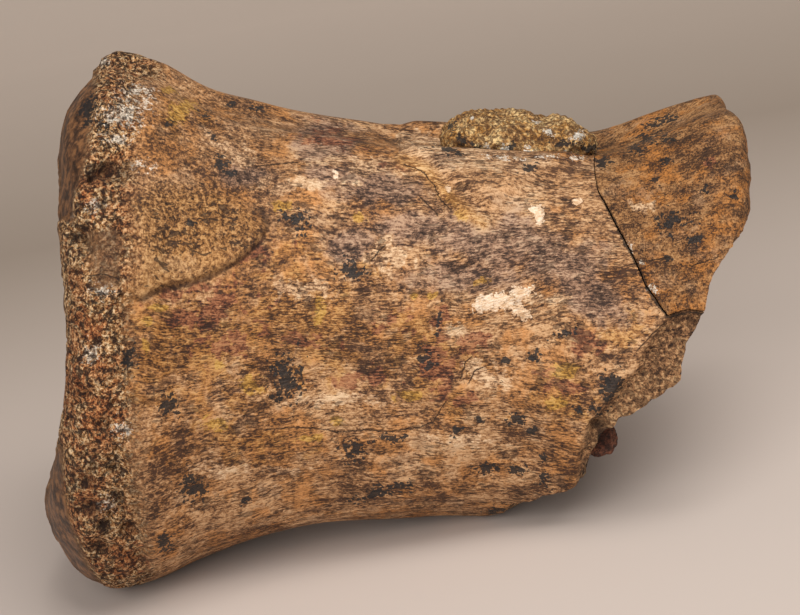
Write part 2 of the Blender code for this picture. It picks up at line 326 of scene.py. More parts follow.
@dataclass(frozen=True)
class BoneForm:
    """The whole bone before it broke, with the same stations as the solid part, in millimetres."""

    dorsal: Outline = (
        (-54, 33.4), (-46, 36.2), (-40, 37.4), (-34, 35.2), (-28, 32.0), (-20, 29.4), (-10, 27.4), (0, 26.1),
        (10, 25.5), (20, 24.8), (28, 25.2), (35, 27.3), (42, 30.0), (47, 31.2), (54, 31.6))
    ventral: Outline = (
        (-54, -34.4), (-47, -37.6), (-40, -40.0), (-35, -39.0), (-28, -35.9), (-20, -33.1), (-10, -30.7),
        (0, -29.7), (12, -29.5), (22, -30.2), (32, -31.8), (42, -33.6), (54, -34.6))
    half_width: Outline = (
        (-54, 33.0), (-47, 34.2), (-41, 34.8), (-35, 33.0), (-28, 28.8), (-18, 25.0), (-6, 22.8), (6, 22.2),
        (18, 22.8), (28, 24.8), (37, 27.8), (44, 29.4), (54, 29.6))
    boxiness: Outline = ((-54, 2.05), (-38, 2.1), (-15, 2.35), (20, 2.4), (38, 2.2), (54, 2.1))
    left_lip: tuple[float, ...] = (-43.9, -45.4, -46.8, -47.0, -46.4, -48.6, -50.8, -48.4)
    right_lip: tuple[float, ...] = (43.8, 46.8, 47.4, 47.6, 46.6, 46.0, 46.0, 45.0)
    left_turn: Pair = (7.5, 0.24)
    right_turn: Pair = (3.2, 0.16)
    dish: Pair = (5.5, 5.0)
    canal: Pair = (2.4, 6.0)
    groove: Pair = (1.6, 4.6)
    pad: Triple = (1.0, 0.0, 28.5)
    pad_apex: Pair = (11.5, 18.0)
    pad_corner: float = 24.6
    spall_depth: float = 1.3
    spall_edge: Outline = (
        (36.5, 7.4), (34.9, 6.3), (33.3, 4.7), (31.5, 1.7), (31.1, -1.1), (29.0, -2.8), (28.1, -4.9),
        (26.0, -7.7), (24.7, -9.9), (23.8, -14.4), (23.6, -18.0))
    band: Pair = (-33.0, 0.35)
    band_knobs: tuple[float, float, int] = (4.6, 0.5, 91)
    hollows: tuple[tuple[float, float, float, float], ...] = (
        (-37.7, 25.5, 2.0, 1.1), (-41.1, 17.5, 1.6, 0.9), (-39.7, -17.2, 1.9, 0.9), (-37.4, -20.8, 1.9, 1.0),
        (-40.3, -25.8, 1.9, 1.0), (-35.4, -24.0, 1.6, 0.8), (-37.8, -12.6, 1.7, 0.7), (-37.9, -5.9, 1.6, 0.6),
        (-40.5, -2.0, 1.6, 0.6), (-40.9, 32.2, 1.8, 0.7))
    layer_height: float = 0.5
    layer_top: Outline = (
        (-38.0, 22.5), (-36.0, 23.6), (-31.2, 24.8), (-25.7, 23.6), (-21.0, 21.6), (-18.1, 19.1),
        (-17.2, 17.2))
    layer_foot: Outline = (
        (-38.0, 9.6), (-33.3, 9.8), (-30.8, 10.8), (-27.3, 10.9), (-24.0, 11.7), (-20.9, 13.0), (-18.0, 15.5),
        (-17.2, 17.0))

    def layer_share(self, points: Array, foot_width: float = 0.5) -> Array:
        """How far the raised layer stands at each point: it thins upwards and ends in a step below.

        Args:
            points: Points of the bone's own frame.
            foot_width: Width of the step along its lower edge.

        Returns:
            A share of the layer's height.
        """
        x, y, z = parts(points)
        top, foot = (np.interp(x, *np.array(edge).T) for edge in (self.layer_top, self.layer_foot))
        return ramp((top - z) / 3) * ramp((z - foot) / foot_width) * ramp((x + 39) / 3) * (y < 0)

    def worn_end(self, points: Array) -> Array:
        """The band of spongy bone with its knobs and hollows, and the raised layer beside it.

        Args:
            points: Points of the bone's own frame.

        Returns:
            Height over the plain bone in millimetres.
        """
        x, y, z = parts(points)
        cell, height, seed = self.band_knobs
        band = ramp((self.band[0] - x) / 3.5) * (height * lumps(points, cell, seed) - self.band[1])
        for place_x, place_z, radius, depth in self.hollows:
            gap = np.hypot(x - place_x, z - place_z) / radius
            band = band - depth * bell(gap) * (y < 0)
        return (band + self.layer_height * self.layer_share(points)) * ramp((z + 34) / 4)

    def middle(self, x: Array) -> Array:
        """Height of the section's middle."""
        return (knotted(x, self.dorsal) + knotted(x, self.ventral)) / 2

    def half_height(self, x: Array) -> Array:
        """Half of the section's height."""
        return (knotted(x, self.dorsal) - knotted(x, self.ventral)) / 2

    def sections(self, x: Array, angle: Array, share: Array) -> Array:
        """Points at a share of the outer section: y and z follow cos and sin to the power 2 / boxiness.

        Args:
            x: Places along the bone.
            angle: Angles round it.
            share: Shares of the outer section.

        Returns:
            One point for each place.
        """
        power = 2 / knotted(x, self.boxiness)
        across = np.sign(np.cos(angle)) * np.abs(np.cos(angle)) ** power
        upward = np.sign(np.sin(angle)) * np.abs(np.sin(angle)) ** power
        y = -share * knotted(x, self.half_width) * across
        return np.stack([x, y, self.middle(x) + share * self.half_height(x) * upward], axis=-1)

    def share_of(self, points: Array) -> Array:
        """How far out points lie in their section, 1 on the plain surface: the superellipse rule undone.

        Args:
            points: Points of the bone's own frame.

        Returns:
            The share of the outer section.
        """
        x, y, z = parts(points)
        boxy = knotted(x, self.boxiness)
        up = np.abs(z - self.middle(x)) / self.half_height(x)
        out = np.abs(y) / knotted(x, self.half_width)
        return (up ** boxy + out ** boxy) ** (1 / boxy)

    def relief(self, points: Array, side: Array) -> Array:
        """Canal, groove, pads and spall as smooth hollows and steps, plus the solid's own broad lumps.

        Args:
            points: Points of the plain bone.
            side: 1 on its side, falling to 0 on its faces.

        Returns:
            Height over the plain bone in millimetres.
        """
        x, y, z = parts(points)
        canal = self.canal[0] * np.exp(-(y / self.canal[1]) ** 4) * ramp((z - 8) / 8)
        canal = canal * (1 - 0.6 * ramp((x - 36) / 10))
        groove = self.groove[0] * np.exp(-(y / self.groove[1]) ** 4) * ramp((-z - 8) / 8)
        groove = groove * ramp((x + 44) / 12)
        height, low, high = self.pad
        apex_x, apex_z = self.pad_apex
        edge = np.interp(x, (low, apex_x, high), (self.pad_corner, apex_z, self.pad_corner))
        pad = height * ramp((z - edge) / 1.6) * ramp((x - low + 3) / 3) * ramp((high + 3 - x) / 3)
        pad = pad * ramp((np.abs(y) - self.canal[1]) / 2.5)
        spall_x, spall_z = np.array(self.spall_edge[::-1]).T
        past_edge = x - np.interp(z, spall_z, spall_x)
        spall = self.spall_depth * ramp(past_edge / 1.4) * ramp(self.spall_edge[0][1] - z) * (y < 0)
        rough = 0.55 * lumps(points, 17.0, 3) + 0.28 * lumps(points, 7.0, 11)
        return side * (pad - canal - groove - spall + self.worn_end(points)) + rough

    def grid(self, angle: Array, along: Array, lip_rows: int, face_rows: int) -> tuple[Array, Array]:
        """Rings of points from the left face over the side to the right face, with the solid's relief.

        A ring is the outer section scaled by a share. The share falls along a quarter circle at each lip and
        then evenly to the middle of the face, whose level follows a smooth dish.

        Args:
            angle: Angles round the bone, 0 on the side shown and 90 degrees at the top.
            along: Numbers from 0 to 1 that place the rings of the side.
            lip_rows: Rings on each rounded lip.
            face_rows: Rings on each dished face.

        Returns:
            The points in rings, and the share of each ring.
        """
        angle = angle[None, :]
        quarter = np.linspace(0, np.pi / 2, lip_rows + 1)[:, None]
        inward = np.linspace(0, 1, face_rows + 2)[1:-1, None]

        def end(lip: Array, turn: Pair, dish: float, way: float) -> tuple[Array, Array]:
            """Rings of one end from its lip to its middle, and the share of each.

            Args:
                lip: Place of the lip at each angle.
                turn: Depth of the rounded lip, and its share of the section.
                dish: Depth of the face's dish.
                way: 1 at the left end and -1 at the right one.

            Returns:
                Places along the bone, and shares of the outer section.
            """
            level = np.mean(lip) + (lip - np.mean(lip)) * (1 - inward)
            x = np.vstack([lip + way * turn[0] * (1 - np.sin(quarter)),
                           level + way * dish * (1 - (1 - inward) ** 2) ** 1.5])
            share = np.vstack([1 - turn[1] * (1 - np.cos(quarter)), (1 - inward) * (1 - turn[1])])
            return x, share + 0 * angle

        left, right = around(angle, self.left_lip), around(angle, self.right_lip)
        left_x, left_share = end(left, self.left_turn, self.dish[0], 1)
        right_x, right_share = end(right, self.right_turn, self.dish[1], -1)
        side = left_x[0] + (right_x[0] - left_x[0]) * along[1:-1, None]
        x = np.vstack([left_x[::-1], side, right_x])
        share = np.vstack([left_share[::-1], 1 + 0 * side, right_share])
        plain = self.sections(x, angle + 0 * x, share)
        carved = plain + ring_normals(plain) * self.relief(plain, ramp((share - 0.7) / 0.25))[..., None]
        return carved, share


def ring_normals(rings: Array) -> Array:
    """Unit normals of a grid of rings: the cross product of its steps along and round.

    Args:
        rings: Points, first by ring and then round the ring.

    Returns:
        One normal for each point.
    """
    along = np.gradient(rings, axis=0)
    round_it = np.roll(rings, -1, axis=1) - np.roll(rings, 1, axis=1)
    normal = np.cross(along, round_it)
    return normal / np.maximum(np.linalg.norm(normal, axis=-1, keepdims=True), 1e-9)


FORM = BoneForm()


# Where the fossil's marks and zones are, on the side shown, in that view's 800 by 615 picture

class Mark(Enum):
    """Kinds of mark that minerals and wear leave on the bone."""

    BLACK = "black"
    OCHRE = "ochre"
    CREAM = "cream"
    RUST = "rust"
    VIOLET = "violet"
    PALE = "pale"
    WHITE = "white"
    WARM = "warm"


@dataclass(frozen=True)
class Spot:
    """One mark: its middle, its length and height in the picture, and its turn in degrees."""

    x: float
    y: float
    length: float
    height: float
    turn: float = 0.0

    def field(self, spots: Array) -> Array:
        """1 in the middle, 0 on the ellipse's edge and negative beyond: 1 less the scaled distance.

        Args:
            spots: Places in the picture.

        Returns:
            The field at each place.
        """
        c, s = math.cos(math.radians(self.turn)), math.sin(math.radians(self.turn))
        dx, dy = spots[..., 0] - self.x, spots[..., 1] - self.y
        return 1 - np.hypot((dx * c + dy * s) / (self.length / 2), (dy * c - dx * s) / (self.height / 2))


def placed(*rows: tuple[float, ...]) -> tuple[Spot, ...]:
    """Spots from rows of their numbers."""
    return tuple(Spot(*row) for row in rows)


def nearest_spot(marks: tuple[Spot, ...], spots: Array) -> Array:
    """The highest field of several marks at each place, and a low number where there is none near."""
    return reduce(np.maximum, (mark.field(spots) for mark in marks), np.full(spots.shape[:-1], FAR_OUT))


SPOTS: dict[Mark, tuple[Spot, ...]] = {
    Mark.BLACK: placed(
        (130, 361, 18, 30), (170, 404, 24, 24), (287, 377, 34, 52), (193, 487, 32, 34), (355, 451, 28, 26),
        (390, 440, 30, 10), (372, 494, 50, 14, -12), (404, 487, 22, 14), (246, 502, 16, 9),
        (166, 542, 20, 20), (166, 122, 14, 8), (207, 116, 20, 7, 25), (231, 103, 12, 9),
        (256, 108, 16, 8, 20), (213, 137, 12, 10), (222, 163, 16, 18), (232, 173, 14, 8), (296, 217, 36, 18),
        (299, 226, 14, 14), (350, 269, 28, 22), (190, 222, 18, 8), (449, 151, 32, 10, 12),
        (530, 168, 22, 9, -12), (562, 147, 30, 9), (588, 150, 34, 11), (603, 163, 22, 14),
        (636, 149, 24, 13, -10), (665, 138, 26, 12), (667, 119, 28, 12, -8), (650, 126, 20, 12),
        (645, 138, 22, 9), (702, 190, 10, 14), (669, 164, 14, 9), (673, 220, 36, 20), (671, 236, 10, 8),
        (695, 239, 14, 14), (669, 259, 10, 12), (735, 196, 10, 12), (655, 181, 9, 10), (533, 353, 20, 13),
        (563, 335, 26, 9, -15), (505, 361, 11, 8), (517, 419, 24, 16), (533, 431, 16, 10), (481, 420, 10, 7),
        (459, 431, 14, 9), (457, 440, 12, 7), (404, 438, 14, 8), (489, 468, 34, 12), (516, 470, 28, 12),
        (545, 479, 15, 16), (425, 360, 18, 26), (437, 327, 6, 42, 8), (614, 386, 24, 30, 20),
        (597, 409, 22, 12), (577, 410, 10, 7), (495, 511, 32, 8, -8), (545, 456, 13, 10), (90, 108, 22, 34),
        (104, 128, 12, 14)),
    Mark.OCHRE: placed(
        (148, 322, 12, 12), (146, 346, 11, 16), (161, 306, 26, 8), (218, 362, 16, 10), (310, 440, 30, 8),
        (337, 422, 16, 9), (433, 297, 14, 8), (480, 284, 20, 10), (183, 112, 26, 20), (168, 90, 14, 8),
        (282, 205, 22, 16), (415, 296, 12, 8), (360, 220, 14, 10), (565, 370, 30, 16), (250, 385, 26, 20),
        (560, 405, 24, 12), (318, 312, 12, 26), (455, 205, 14, 40, -35), (410, 395, 30, 10),
        (215, 425, 22, 14)),
    Mark.CREAM: placed(
        (488, 303, 34, 19, -8), (506, 303, 28, 24), (522, 292, 28, 16, -8), (519, 314, 28, 16, 15),
        (540, 214, 12, 20, 10), (536, 208, 16, 9), (333, 174, 8, 8), (447, 189, 8, 8), (576, 202, 12, 7),
        (721, 278, 11, 17, 20)),
    Mark.RUST: placed(
        (88, 400, 46, 110, -8), (96, 178, 44, 26), (90, 500, 44, 60), (120, 560, 60, 40), (215, 305, 80, 55),
        (258, 250, 55, 26, -18), (180, 318, 60, 20), (437, 350, 34, 80), (405, 322, 50, 26),
        (225, 345, 60, 24), (300, 340, 70, 20), (95, 200, 40, 26), (330, 140, 60, 22, 10),
        (200, 288, 60, 14, -18), (395, 165, 24, 10), (360, 380, 60, 20), (560, 380, 60, 26),
        (450, 395, 60, 18), (708, 160, 12, 30, -20), (470, 340, 40, 20), (100, 420, 50, 60),
        (90, 330, 34, 50), (590, 345, 40, 26)),
    Mark.VIOLET: placed(
        (500, 245, 190, 66, 8), (420, 225, 70, 40), (560, 265, 110, 50, 20), (325, 140, 66, 40, 15),
        (470, 275, 140, 36), (385, 190, 90, 40, 10), (250, 175, 60, 22), (600, 300, 60, 46, 30),
        (345, 245, 60, 30), (440, 160, 50, 16), (330, 175, 60, 20)),
    Mark.PALE: placed(
        (420, 150, 60, 22), (500, 165, 120, 12, 4), (360, 165, 90, 18, 6), (230, 150, 60, 20, 25),
        (300, 185, 110, 14), (390, 258, 60, 26, -10), (215, 470, 50, 20), (330, 400, 90, 16),
        (240, 240, 40, 20), (175, 265, 60, 22, -15), (470, 440, 90, 12), (275, 470, 60, 12),
        (540, 300, 60, 12), (640, 205, 30, 14), (480, 165, 60, 14, 6), (384, 256, 44, 30, -25),
        (476, 150, 100, 16, 6), (525, 160, 130, 14, 6), (425, 140, 60, 16, 8), (490, 375, 60, 30),
        (455, 330, 40, 20), (305, 290, 60, 24)),
    Mark.WHITE: placed(
        (125, 112, 34, 36), (110, 118, 26, 22), (118, 138, 30, 12), (140, 100, 24, 12), (143, 165, 22, 12),
        (103, 62, 14, 8), (136, 90, 30, 10), (102, 290, 26, 14), (92, 355, 16, 22), (122, 430, 16, 20),
        (108, 505, 18, 14), (96, 206, 18, 14), (72, 214, 10, 10), (631, 247, 6, 14, -28),
        (651, 289, 10, 12, -30), (641, 264, 4, 6), (504, 157, 30, 5, 4), (546, 156, 26, 4),
        (578, 157, 18, 5)),
    Mark.WARM: placed(
        (190, 350, 170, 150), (300, 320, 170, 150), (200, 225, 110, 70), (180, 110, 60, 40),
        (570, 400, 90, 60), (240, 440, 120, 40), (430, 350, 90, 110), (620, 330, 60, 50)),
}

UPPER_STRIP: Outline = (
    (97, 70), (84, 70), (66, 92), (52, 130), (50, 180), (54, 218), (74, 222), (72, 196), (86, 160), (90, 122))
LOWER_STRIP: Outline = (
    (64, 446), (40, 452), (30, 500), (38, 552), (90, 600), (112, 598), (88, 566), (72, 530), (64, 490))
OLIVE_PATCH: Outline = ((88, 234), (112, 228), (122, 244), (122, 268), (118, 288), (96, 286), (86, 262))
SCAR: Outline = (
    (400, 158), (428, 170), (452, 196), (484, 224), (520, 206), (560, 184), (600, 164), (560, 158), (480, 156))
SCAR_RIDGE: Outline = ((402, 160), (425, 170), (440, 188), (460, 206), (483, 224))
STEP_EDGE: Outline = (
    (138, 302), (160, 292), (190, 286), (215, 276), (240, 263), (262, 242), (270, 224), (262, 206))
GLUED_CRACK: Outline = (
    (586, 140), (592, 165), (597, 185), (603, 200), (615, 222), (622, 238), (632, 255), (640, 270), (648, 290),
    (656, 303), (668, 317), (690, 312), (708, 314))
HAIR_CRACKS: tuple[Outline, ...] = (
    ((262, 430), (296, 427), (318, 429), (340, 433), (366, 430), (392, 432), (420, 428), (434, 422), (440, 411),
     (447, 401)),
    ((460, 380), (466, 362), (472, 356)),
    ((468, 384), (476, 370), (486, 366)),
    ((690, 266), (704, 262), (720, 257)),
    ((86, 276), (104, 274), (120, 279)),
    ((90, 294), (106, 294), (122, 291)),
    ((404, 164), (424, 173), (434, 186), (441, 200), (452, 212)),
    ((418, 196), (430, 206), (438, 216)),
    ((255, 166), (276, 164), (300, 162)),
    ((370, 263), (378, 252), (386, 245)),
    ((636, 352), (652, 334), (668, 320)),
    ((640, 262), (668, 258)),
)
PITS: tuple[tuple[float, float, float, float], ...] = (
    (92, 176, 9, 1.5), (108, 170, 10, 1.6), (120, 174, 7, 1.2), (78, 238, 7, 1.6), (86, 230, 5, 1.0),
    (104, 204, 5, 1.0), (128, 168, 6, 0.9), (90, 508, 11, 1.4), (84, 482, 8, 1.1), (104, 526, 8, 1.3),
    (120, 498, 7, 1.0), (98, 548, 8, 1.2), (130, 530, 6, 1.0), (112, 470, 6, 0.9), (140, 556, 7, 0.9),
    (90, 470, 6, 0.9),
    (105, 425, 5, 0.8), (84, 395, 5, 0.8), (150, 402, 4, 0.6), (135, 400, 4, 0.7), (100, 82, 5, 0.8),
    (420, 448, 4, 0.4), (517, 304, 4, 0.5), (608, 436, 10, 1.6), (600, 424, 7, 1.2), (700, 322, 7, 0.9))


@dataclass(frozen=True)
class FarSide:
    """Marks on the parts that the view doesn't show, strewn by a seeded draw over length and angle."""

    seed: int = 41
    counts: tuple[tuple[Mark, int, float, float], ...] = (
        (Mark.BLACK, 60, 1.6, 1.0), (Mark.OCHRE, 26, 2.2, 1.1), (Mark.CREAM, 7, 2.2, 1.0),
        (Mark.RUST, 24, 6.5, 3.0), (Mark.VIOLET, 12, 12.0, 5.0), (Mark.PALE, 16, 7.0, 1.8),
        (Mark.WHITE, 16, 3.2, 2.2), (Mark.WARM, 14, 12.0, 8.0))

    def fields(self, unrolled: Array) -> dict[Mark, Array]:
        """The same field as a spot's, for ellipses drawn on the unrolled surface.

        Args:
            unrolled: Length along and distance round the bone, in millimetres.

        Returns:
            One field for each kind of mark.
        """
        draw = np.random.default_rng(self.seed)
        fields = {}
        for kind, count, length, height in self.counts:
            best = np.full(unrolled.shape[:-1], FAR_OUT)
            for _ in range(count):
                x, y = draw.uniform(-62, 60), draw.uniform(-95, 95)
                size = draw.uniform(0.6, 1.5, 2) * (length, height)
                gap = np.hypot((unrolled[..., 0] - x) / size[0], (unrolled[..., 1] - y) / size[1])
                best = np.maximum(best, 1 - gap)
            fields[kind] = best
        return fields


class Skin:
    """What the bone's surface is at each point: its zones, its marks and the lines on it.

    Each zone is a share from 0 to 1, in most cases a smooth step of a coordinate or of noise.
    """

    drum: float = 28.0

    def __init__(self, points: Array, normals: Array) -> None:
        """Works out what the zones and marks share, for a set of points of the bone's own frame."""
        self.points = points
        self.share = FORM.share_of(points)
        self.seen = VIEW.facing(points, normals)
        self.hidden = 1 - self.seen
        self.spots = VIEW.spots(points)
        self.grain = self.grain_place()
        wobble = np.stack([layered(points, 3.0, 201), layered(points, 3.0, 211)], axis=-1)
        self.wobbled, self.fine_wobbled = self.spots + 5.0 * wobble, self.spots + 1.6 * wobble

    def grain_place(self) -> Array:
        """Where each point is in the bone's grain: length along the flared side, and place round a drum.

        The length adds the climb of the flare to the distance along, so that fibres keep their length there.
        The angle falls by a bell curve in the height below the scar, where the fibres climb with it.
        """
        x, y, z = parts(self.points)
        stations = np.linspace(-54, 54, 200)
        radius = (knotted(stations, FORM.half_width) + FORM.half_height(stations)) / 2
        climb = np.concatenate([[0], np.cumsum(np.hypot(np.diff(stations), np.diff(radius)))])
        length = np.interp(x, stations, climb - climb[100])
        length = length - np.sign(-x) * 30 * np.clip(0.98 - self.share, 0, 1)
        angle = np.arctan2((z - FORM.middle(x)) / FORM.half_height(x), -y / knotted(x, FORM.half_width))
        angle = angle - 2.9 * np.tanh((x - 14) / 9) * bell((z - 9) / 9) * (y < 0) / self.drum
        return np.stack([length, self.drum * np.cos(angle), self.drum * np.sin(angle)], axis=-1)

    def unrolled(self) -> Array:
        """Length along and distance round, the latter 0 in the middle of the side that isn't shown."""
        angle = np.arctan2(self.grain[..., 2], -self.grain[..., 1])
        return np.stack([self.grain[..., 0], self.drum * angle], axis=-1)

    def patches(self, cell: float, seed: int, level: float, soft: float) -> Array:
        """Ragged patches: noise cut at a level by a soft step."""
        return ramp((layered(self.points, cell, seed) - level) / soft)

    def rim(self) -> Array:
        """The worn band of spongy bone round the larger end, with a ragged border."""
        x = self.points[..., 0] + 1.6 * layered(self.points, 6.0, 221)
        return ramp((-33.0 - x) / 3.5) * ramp((self.share - 0.62) / 0.12)

    def right_rim(self) -> Array:
        """The lip of the broken end."""
        return ramp((self.points[..., 0] - 42.5 + layered(self.points, 4.0, 231)) / 2.0)

    def face(self) -> Array:
        """The dished faces inside their lips."""
        x = self.points[..., 0]
        return ramp((0.80 - self.share) / 0.1) * (ramp((-34 - x) / 3) + ramp((x - 38) / 2))

    def worn_face(self) -> Array:
        """Patches of the faces whose smooth skin wore off and shows the spongy bone."""
        return self.face() * self.patches(8.0, 411, 0.05, 0.25)

    def coarse(self) -> Array:
        """The upper flank beside the larger rim, where the bone is granular instead of fibrous."""
        x, _, z = parts(self.points)
        return ramp((-8 - x) / 16) * ramp((z - 6) / 12)

    def zone(self, outline: Outline, feather: float) -> Array:
        """An outlined zone of the side shown, with a ragged border."""
        return inside_outline(self.wobbled, outline, feather) * self.seen

    def smooth_lip(self) -> Array:
        """Where the lip keeps its smooth dark skin: two strips and a patch in view, and patches elsewhere."""
        strips = [self.zone(UPPER_STRIP, 6), self.zone(LOWER_STRIP, 6), 0.6 * self.zone(OLIVE_PATCH, 6)]
        elsewhere = self.patches(11.0, 241, -0.02, 0.12) * ramp((-40.5 - self.points[..., 0]) / 2)
        return np.maximum.reduce([*strips, elsewhere * ramp((self.share - 0.55) / 0.1) * self.hidden])

    def raised_layer(self) -> Array:
        """The tan layer of outer bone that still lies on the flank beside the rim."""
        return FORM.layer_share(self.points, 0.4) * self.seen

    def far_layer(self) -> Array:
        """Patches of the same layer on the sides that aren't in view."""
        x = self.points[..., 0]
        return self.patches(14.0, 251, 0.12, 0.05) * ramp((-8 - x) / 8) * ramp((x + 36) / 4) * self.hidden

    def spall(self) -> Array:
        """The patch beside the broken corner that lost its outer layer."""
        x, y, z = parts(self.points)
        edge_x, edge_z = np.array(FORM.spall_edge[::-1]).T
        past = x - np.interp(z, edge_z, edge_x) + 0.5 * layered(self.points, 2.0, 261)
        return ramp(past / 0.9) * ramp((7.4 - z) / 0.8) * ramp(-y / 3)

    def pits(self) -> Array:
        """Depth of the named pits: each a bell curve of its own radius and depth."""
        total = np.zeros(self.spots.shape[:-1])
        for x, y, radius, depth in PITS:
            gap = np.hypot(self.wobbled[..., 0] - x, (self.wobbled[..., 1] - y) * 1.25) / radius
            total = np.maximum(total, depth * bell(gap))
        return total * self.seen

    @cached_property
    def marks(self) -> dict[Mark, Array]:
        """For each kind of mark, 1 in its middle, 0 on its edge and negative beyond."""
        far = FarSide().fields(self.unrolled())
        near = {kind: nearest_spot(spots, self.wobbled) for kind, spots in SPOTS.items()}
        return {kind: np.clip(np.where(self.seen > 0.5, near[kind], far[kind]), FAR_OUT, 1) for kind in near}

    def near_line(self, line: Outline) -> tuple[Array, Array]:
        """Signed distance in millimetres to a line drawn in view, and 1 beside it but 0 past its ends."""
        signed, inner = signed_distance(self.fine_wobbled, line)
        return signed / VIEW.pixels_per_mm, inner

    def crack(self) -> tuple[Array, Array]:
        """Signed distance in millimetres to the glued crack's line in view, and where that line counts."""
        signed, inner = signed_distance(self.spots, GLUED_CRACK)
        signed = signed / VIEW.pixels_per_mm
        closed = 1 - 0.75 * ramp((205 - self.spots[..., 1]) / 15)
        return signed, ramp((2.0 - np.abs(signed)) / 0.6) * inner * self.seen * closed

    def hair_cracks(self) -> tuple[Array, Array]:
        """The same for the nearest of the hair cracks."""
        best, weight = np.full(self.seen.shape, 99.0), np.zeros(self.seen.shape)
        for line in HAIR_CRACKS:
            signed, inner = self.near_line(line)
            closer = np.abs(signed) < np.abs(best)
            best, weight = np.where(closer, signed, best), np.where(closer, inner, weight)
        return best, ramp((1.2 - np.abs(best)) / 0.5) * weight * self.seen

    def ridge(self, width: float) -> Array:
        """The low ridge of the scar below the crust: a bell curve across its line."""
        return bell(np.abs(self.near_line(SCAR_RIDGE)[0]) / width) * self.seen

    def fine_relief(self) -> Array:
        """How far the fossil's real surface lies off the plain one, in millimetres, mostly inwards.

        Fibres are noise stretched seven times along the grain. The rim is pitted by hollows round random
        seeds. Layer, scar, strips, pits and crack lips are steps and bells on top.
        """
        p, grain = self.points, self.grain * (0.14, 1, 1)
        rim, smooth, face, worn = self.rim(), self.smooth_lip(), self.face(), self.worn_face()
        lip = np.maximum(smooth, face)
        fibres = (0.09 * lumps(grain, 1.25, 301) + 0.06 * lumps(grain, 0.6, 311)
                  + 0.10 * lumps(grain, 3.5, 321))
        small = holes(p, 1.05, 341, 0.45, 0.3)
        spongy = -0.75 * holes(p, 2.1, 331, 0.42, 0.34) - 0.28 * small + 0.25 * layered(p, 2.6, 351)
        pocked = -0.22 * holes(self.grain * (0.5, 1, 1), 1.3, 361, 0.36, 0.24) + 0.10 * lumps(p, 1.0, 371)
        signed, weight = self.crack()
        return ((1 - rim) * (1 - lip) * fibres + rim * (1 - lip) * spongy
                + (self.raised_layer() + self.far_layer()) * pocked
                + self.zone(SCAR, 9) * (-0.25 + 0.12 * layered(p, 2.4, 381)) + 0.45 * self.ridge(0.8)
                + self.spall() * 0.45 * layered(p, 2.6, 391)
                - 0.55 * smooth + lip * 0.10 * layered(p, 4.0, 401) + worn * (-0.35 - 0.35 * small)
                + self.right_rim() * (1 - face) * (0.18 * layered(p, 2.0, 421) - 0.12 * small)
                - 0.35 * weight * bell(signed / 0.35) - self.pits()
                + 0.12 * ramp(self.marks[Mark.CREAM] / 0.25) - 0.1)

    def kept(self) -> dict[str, Array]:
        """Everything that the finish reads for each point, by the name that it is kept under."""
        rim, worn = self.rim(), self.worn_face()
        lip = np.maximum(self.smooth_lip(), self.face() * 0.75) * (1 - 0.85 * worn)
        # Painted shadow under the raised layer's step edge, added below to the painted shade in the named pits
        # as one darkening.
        step, on_step = signed_distance(self.fine_wobbled, STEP_EDGE)
        painted_step_shadow = bell(step / 6.0) * (step < 1) * on_step * self.seen
        (crack, crack_on), (hair, hair_on) = self.crack(), self.hair_cracks()
        return {"grain": self.grain, "bone_place": self.points,
                **{kind.value: field for kind, field in self.marks.items()},
                "rim": np.maximum(rim, worn) * (1 - lip), "lip": lip, "coarse": self.coarse(),
                "layer": np.maximum(self.raised_layer(), self.far_layer()) * (1 - rim),
                "scar": self.zone(SCAR, 10), "ridge": self.ridge(1.0), "spall": self.spall(),
                "crack": crack, "crack_on": crack_on, "hair": hair, "hair_on": hair_on,
                "pit_and_step_shade": np.clip(self.pits() + 0.9 * painted_step_shadow, 0, 1)}


# Meshes

def fill_mesh(name: str, points: Array, quads: Array, triangles: Array) -> bpy.types.Mesh:
    """A smooth mesh from arrays.

    Args:
        name: Its name.
        points: Its points.
        quads: Point numbers of its four-sided faces.
        triangles: Point numbers of its three-sided faces.

    Returns:
        The mesh.
    """
    mesh = bpy.data.meshes.new(name)
    mesh.vertices.add(len(points))
    mesh.vertices.foreach_set("co", points.astype(np.float32).ravel())
    loops = np.concatenate([triangles.ravel(), quads.ravel()]).astype(np.int32)
    sizes = np.repeat((3, 4), (len(triangles), len(quads))).astype(np.int32)
    mesh.loops.add(len(loops))
    mesh.loops.foreach_set("vertex_index", loops)
    mesh.polygons.add(len(sizes))
    mesh.polygons.foreach_set("loop_start", (np.cumsum(sizes) - sizes).astype(np.int32))
    mesh.update(calc_edges=True)
    mesh.shade_smooth()
    return mesh


def ring_mesh(name: str, rings: Array) -> bpy.types.Mesh:
    """A closed mesh from rings of points, with a pole at the middle of the first and last ring.

    Args:
        name: Its name.
        rings: Points, first by ring and then round the ring.

    Returns:
        The mesh.
    """
    rows, columns = rings.shape[:2]
    points = np.vstack([rings.reshape(-1, 3), rings[0].mean(axis=0)[None], rings[-1].mean(axis=0)[None]])
    j = np.arange(columns)
    k = (j + 1) % columns
    i = (np.arange(rows - 1) * columns)[:, None]
    quads = np.stack([i + j, i + columns + j, i + columns + k, i + k], axis=-1).reshape(-1, 4)
    first, last, base = rows * columns, rows * columns + 1, (rows - 1) * columns
    caps = np.vstack([np.stack([0 * j + first, j, k], axis=-1),
                      np.stack([0 * j + last, base + k, base + j], axis=-1)])
    return fill_mesh(name, points, quads, caps)


def vectors(data: bpy.types.bpy_prop_collection, key: str) -> Array:
    """The vectors of a mesh's points or normals as an array.

    Args:
        data: The mesh's points or normals.
        key: Name of the vector in each.

    Returns:
        The vectors, one in each row.
    """
    values = np.empty(len(data) * 3, np.float32)
    data.foreach_get(key, values)
    return values.reshape(-1, 3).astype(float)


def mesh_points(mesh: bpy.types.Mesh) -> Array:
    """A mesh's points as an array."""
    return vectors(mesh.vertices, "co")


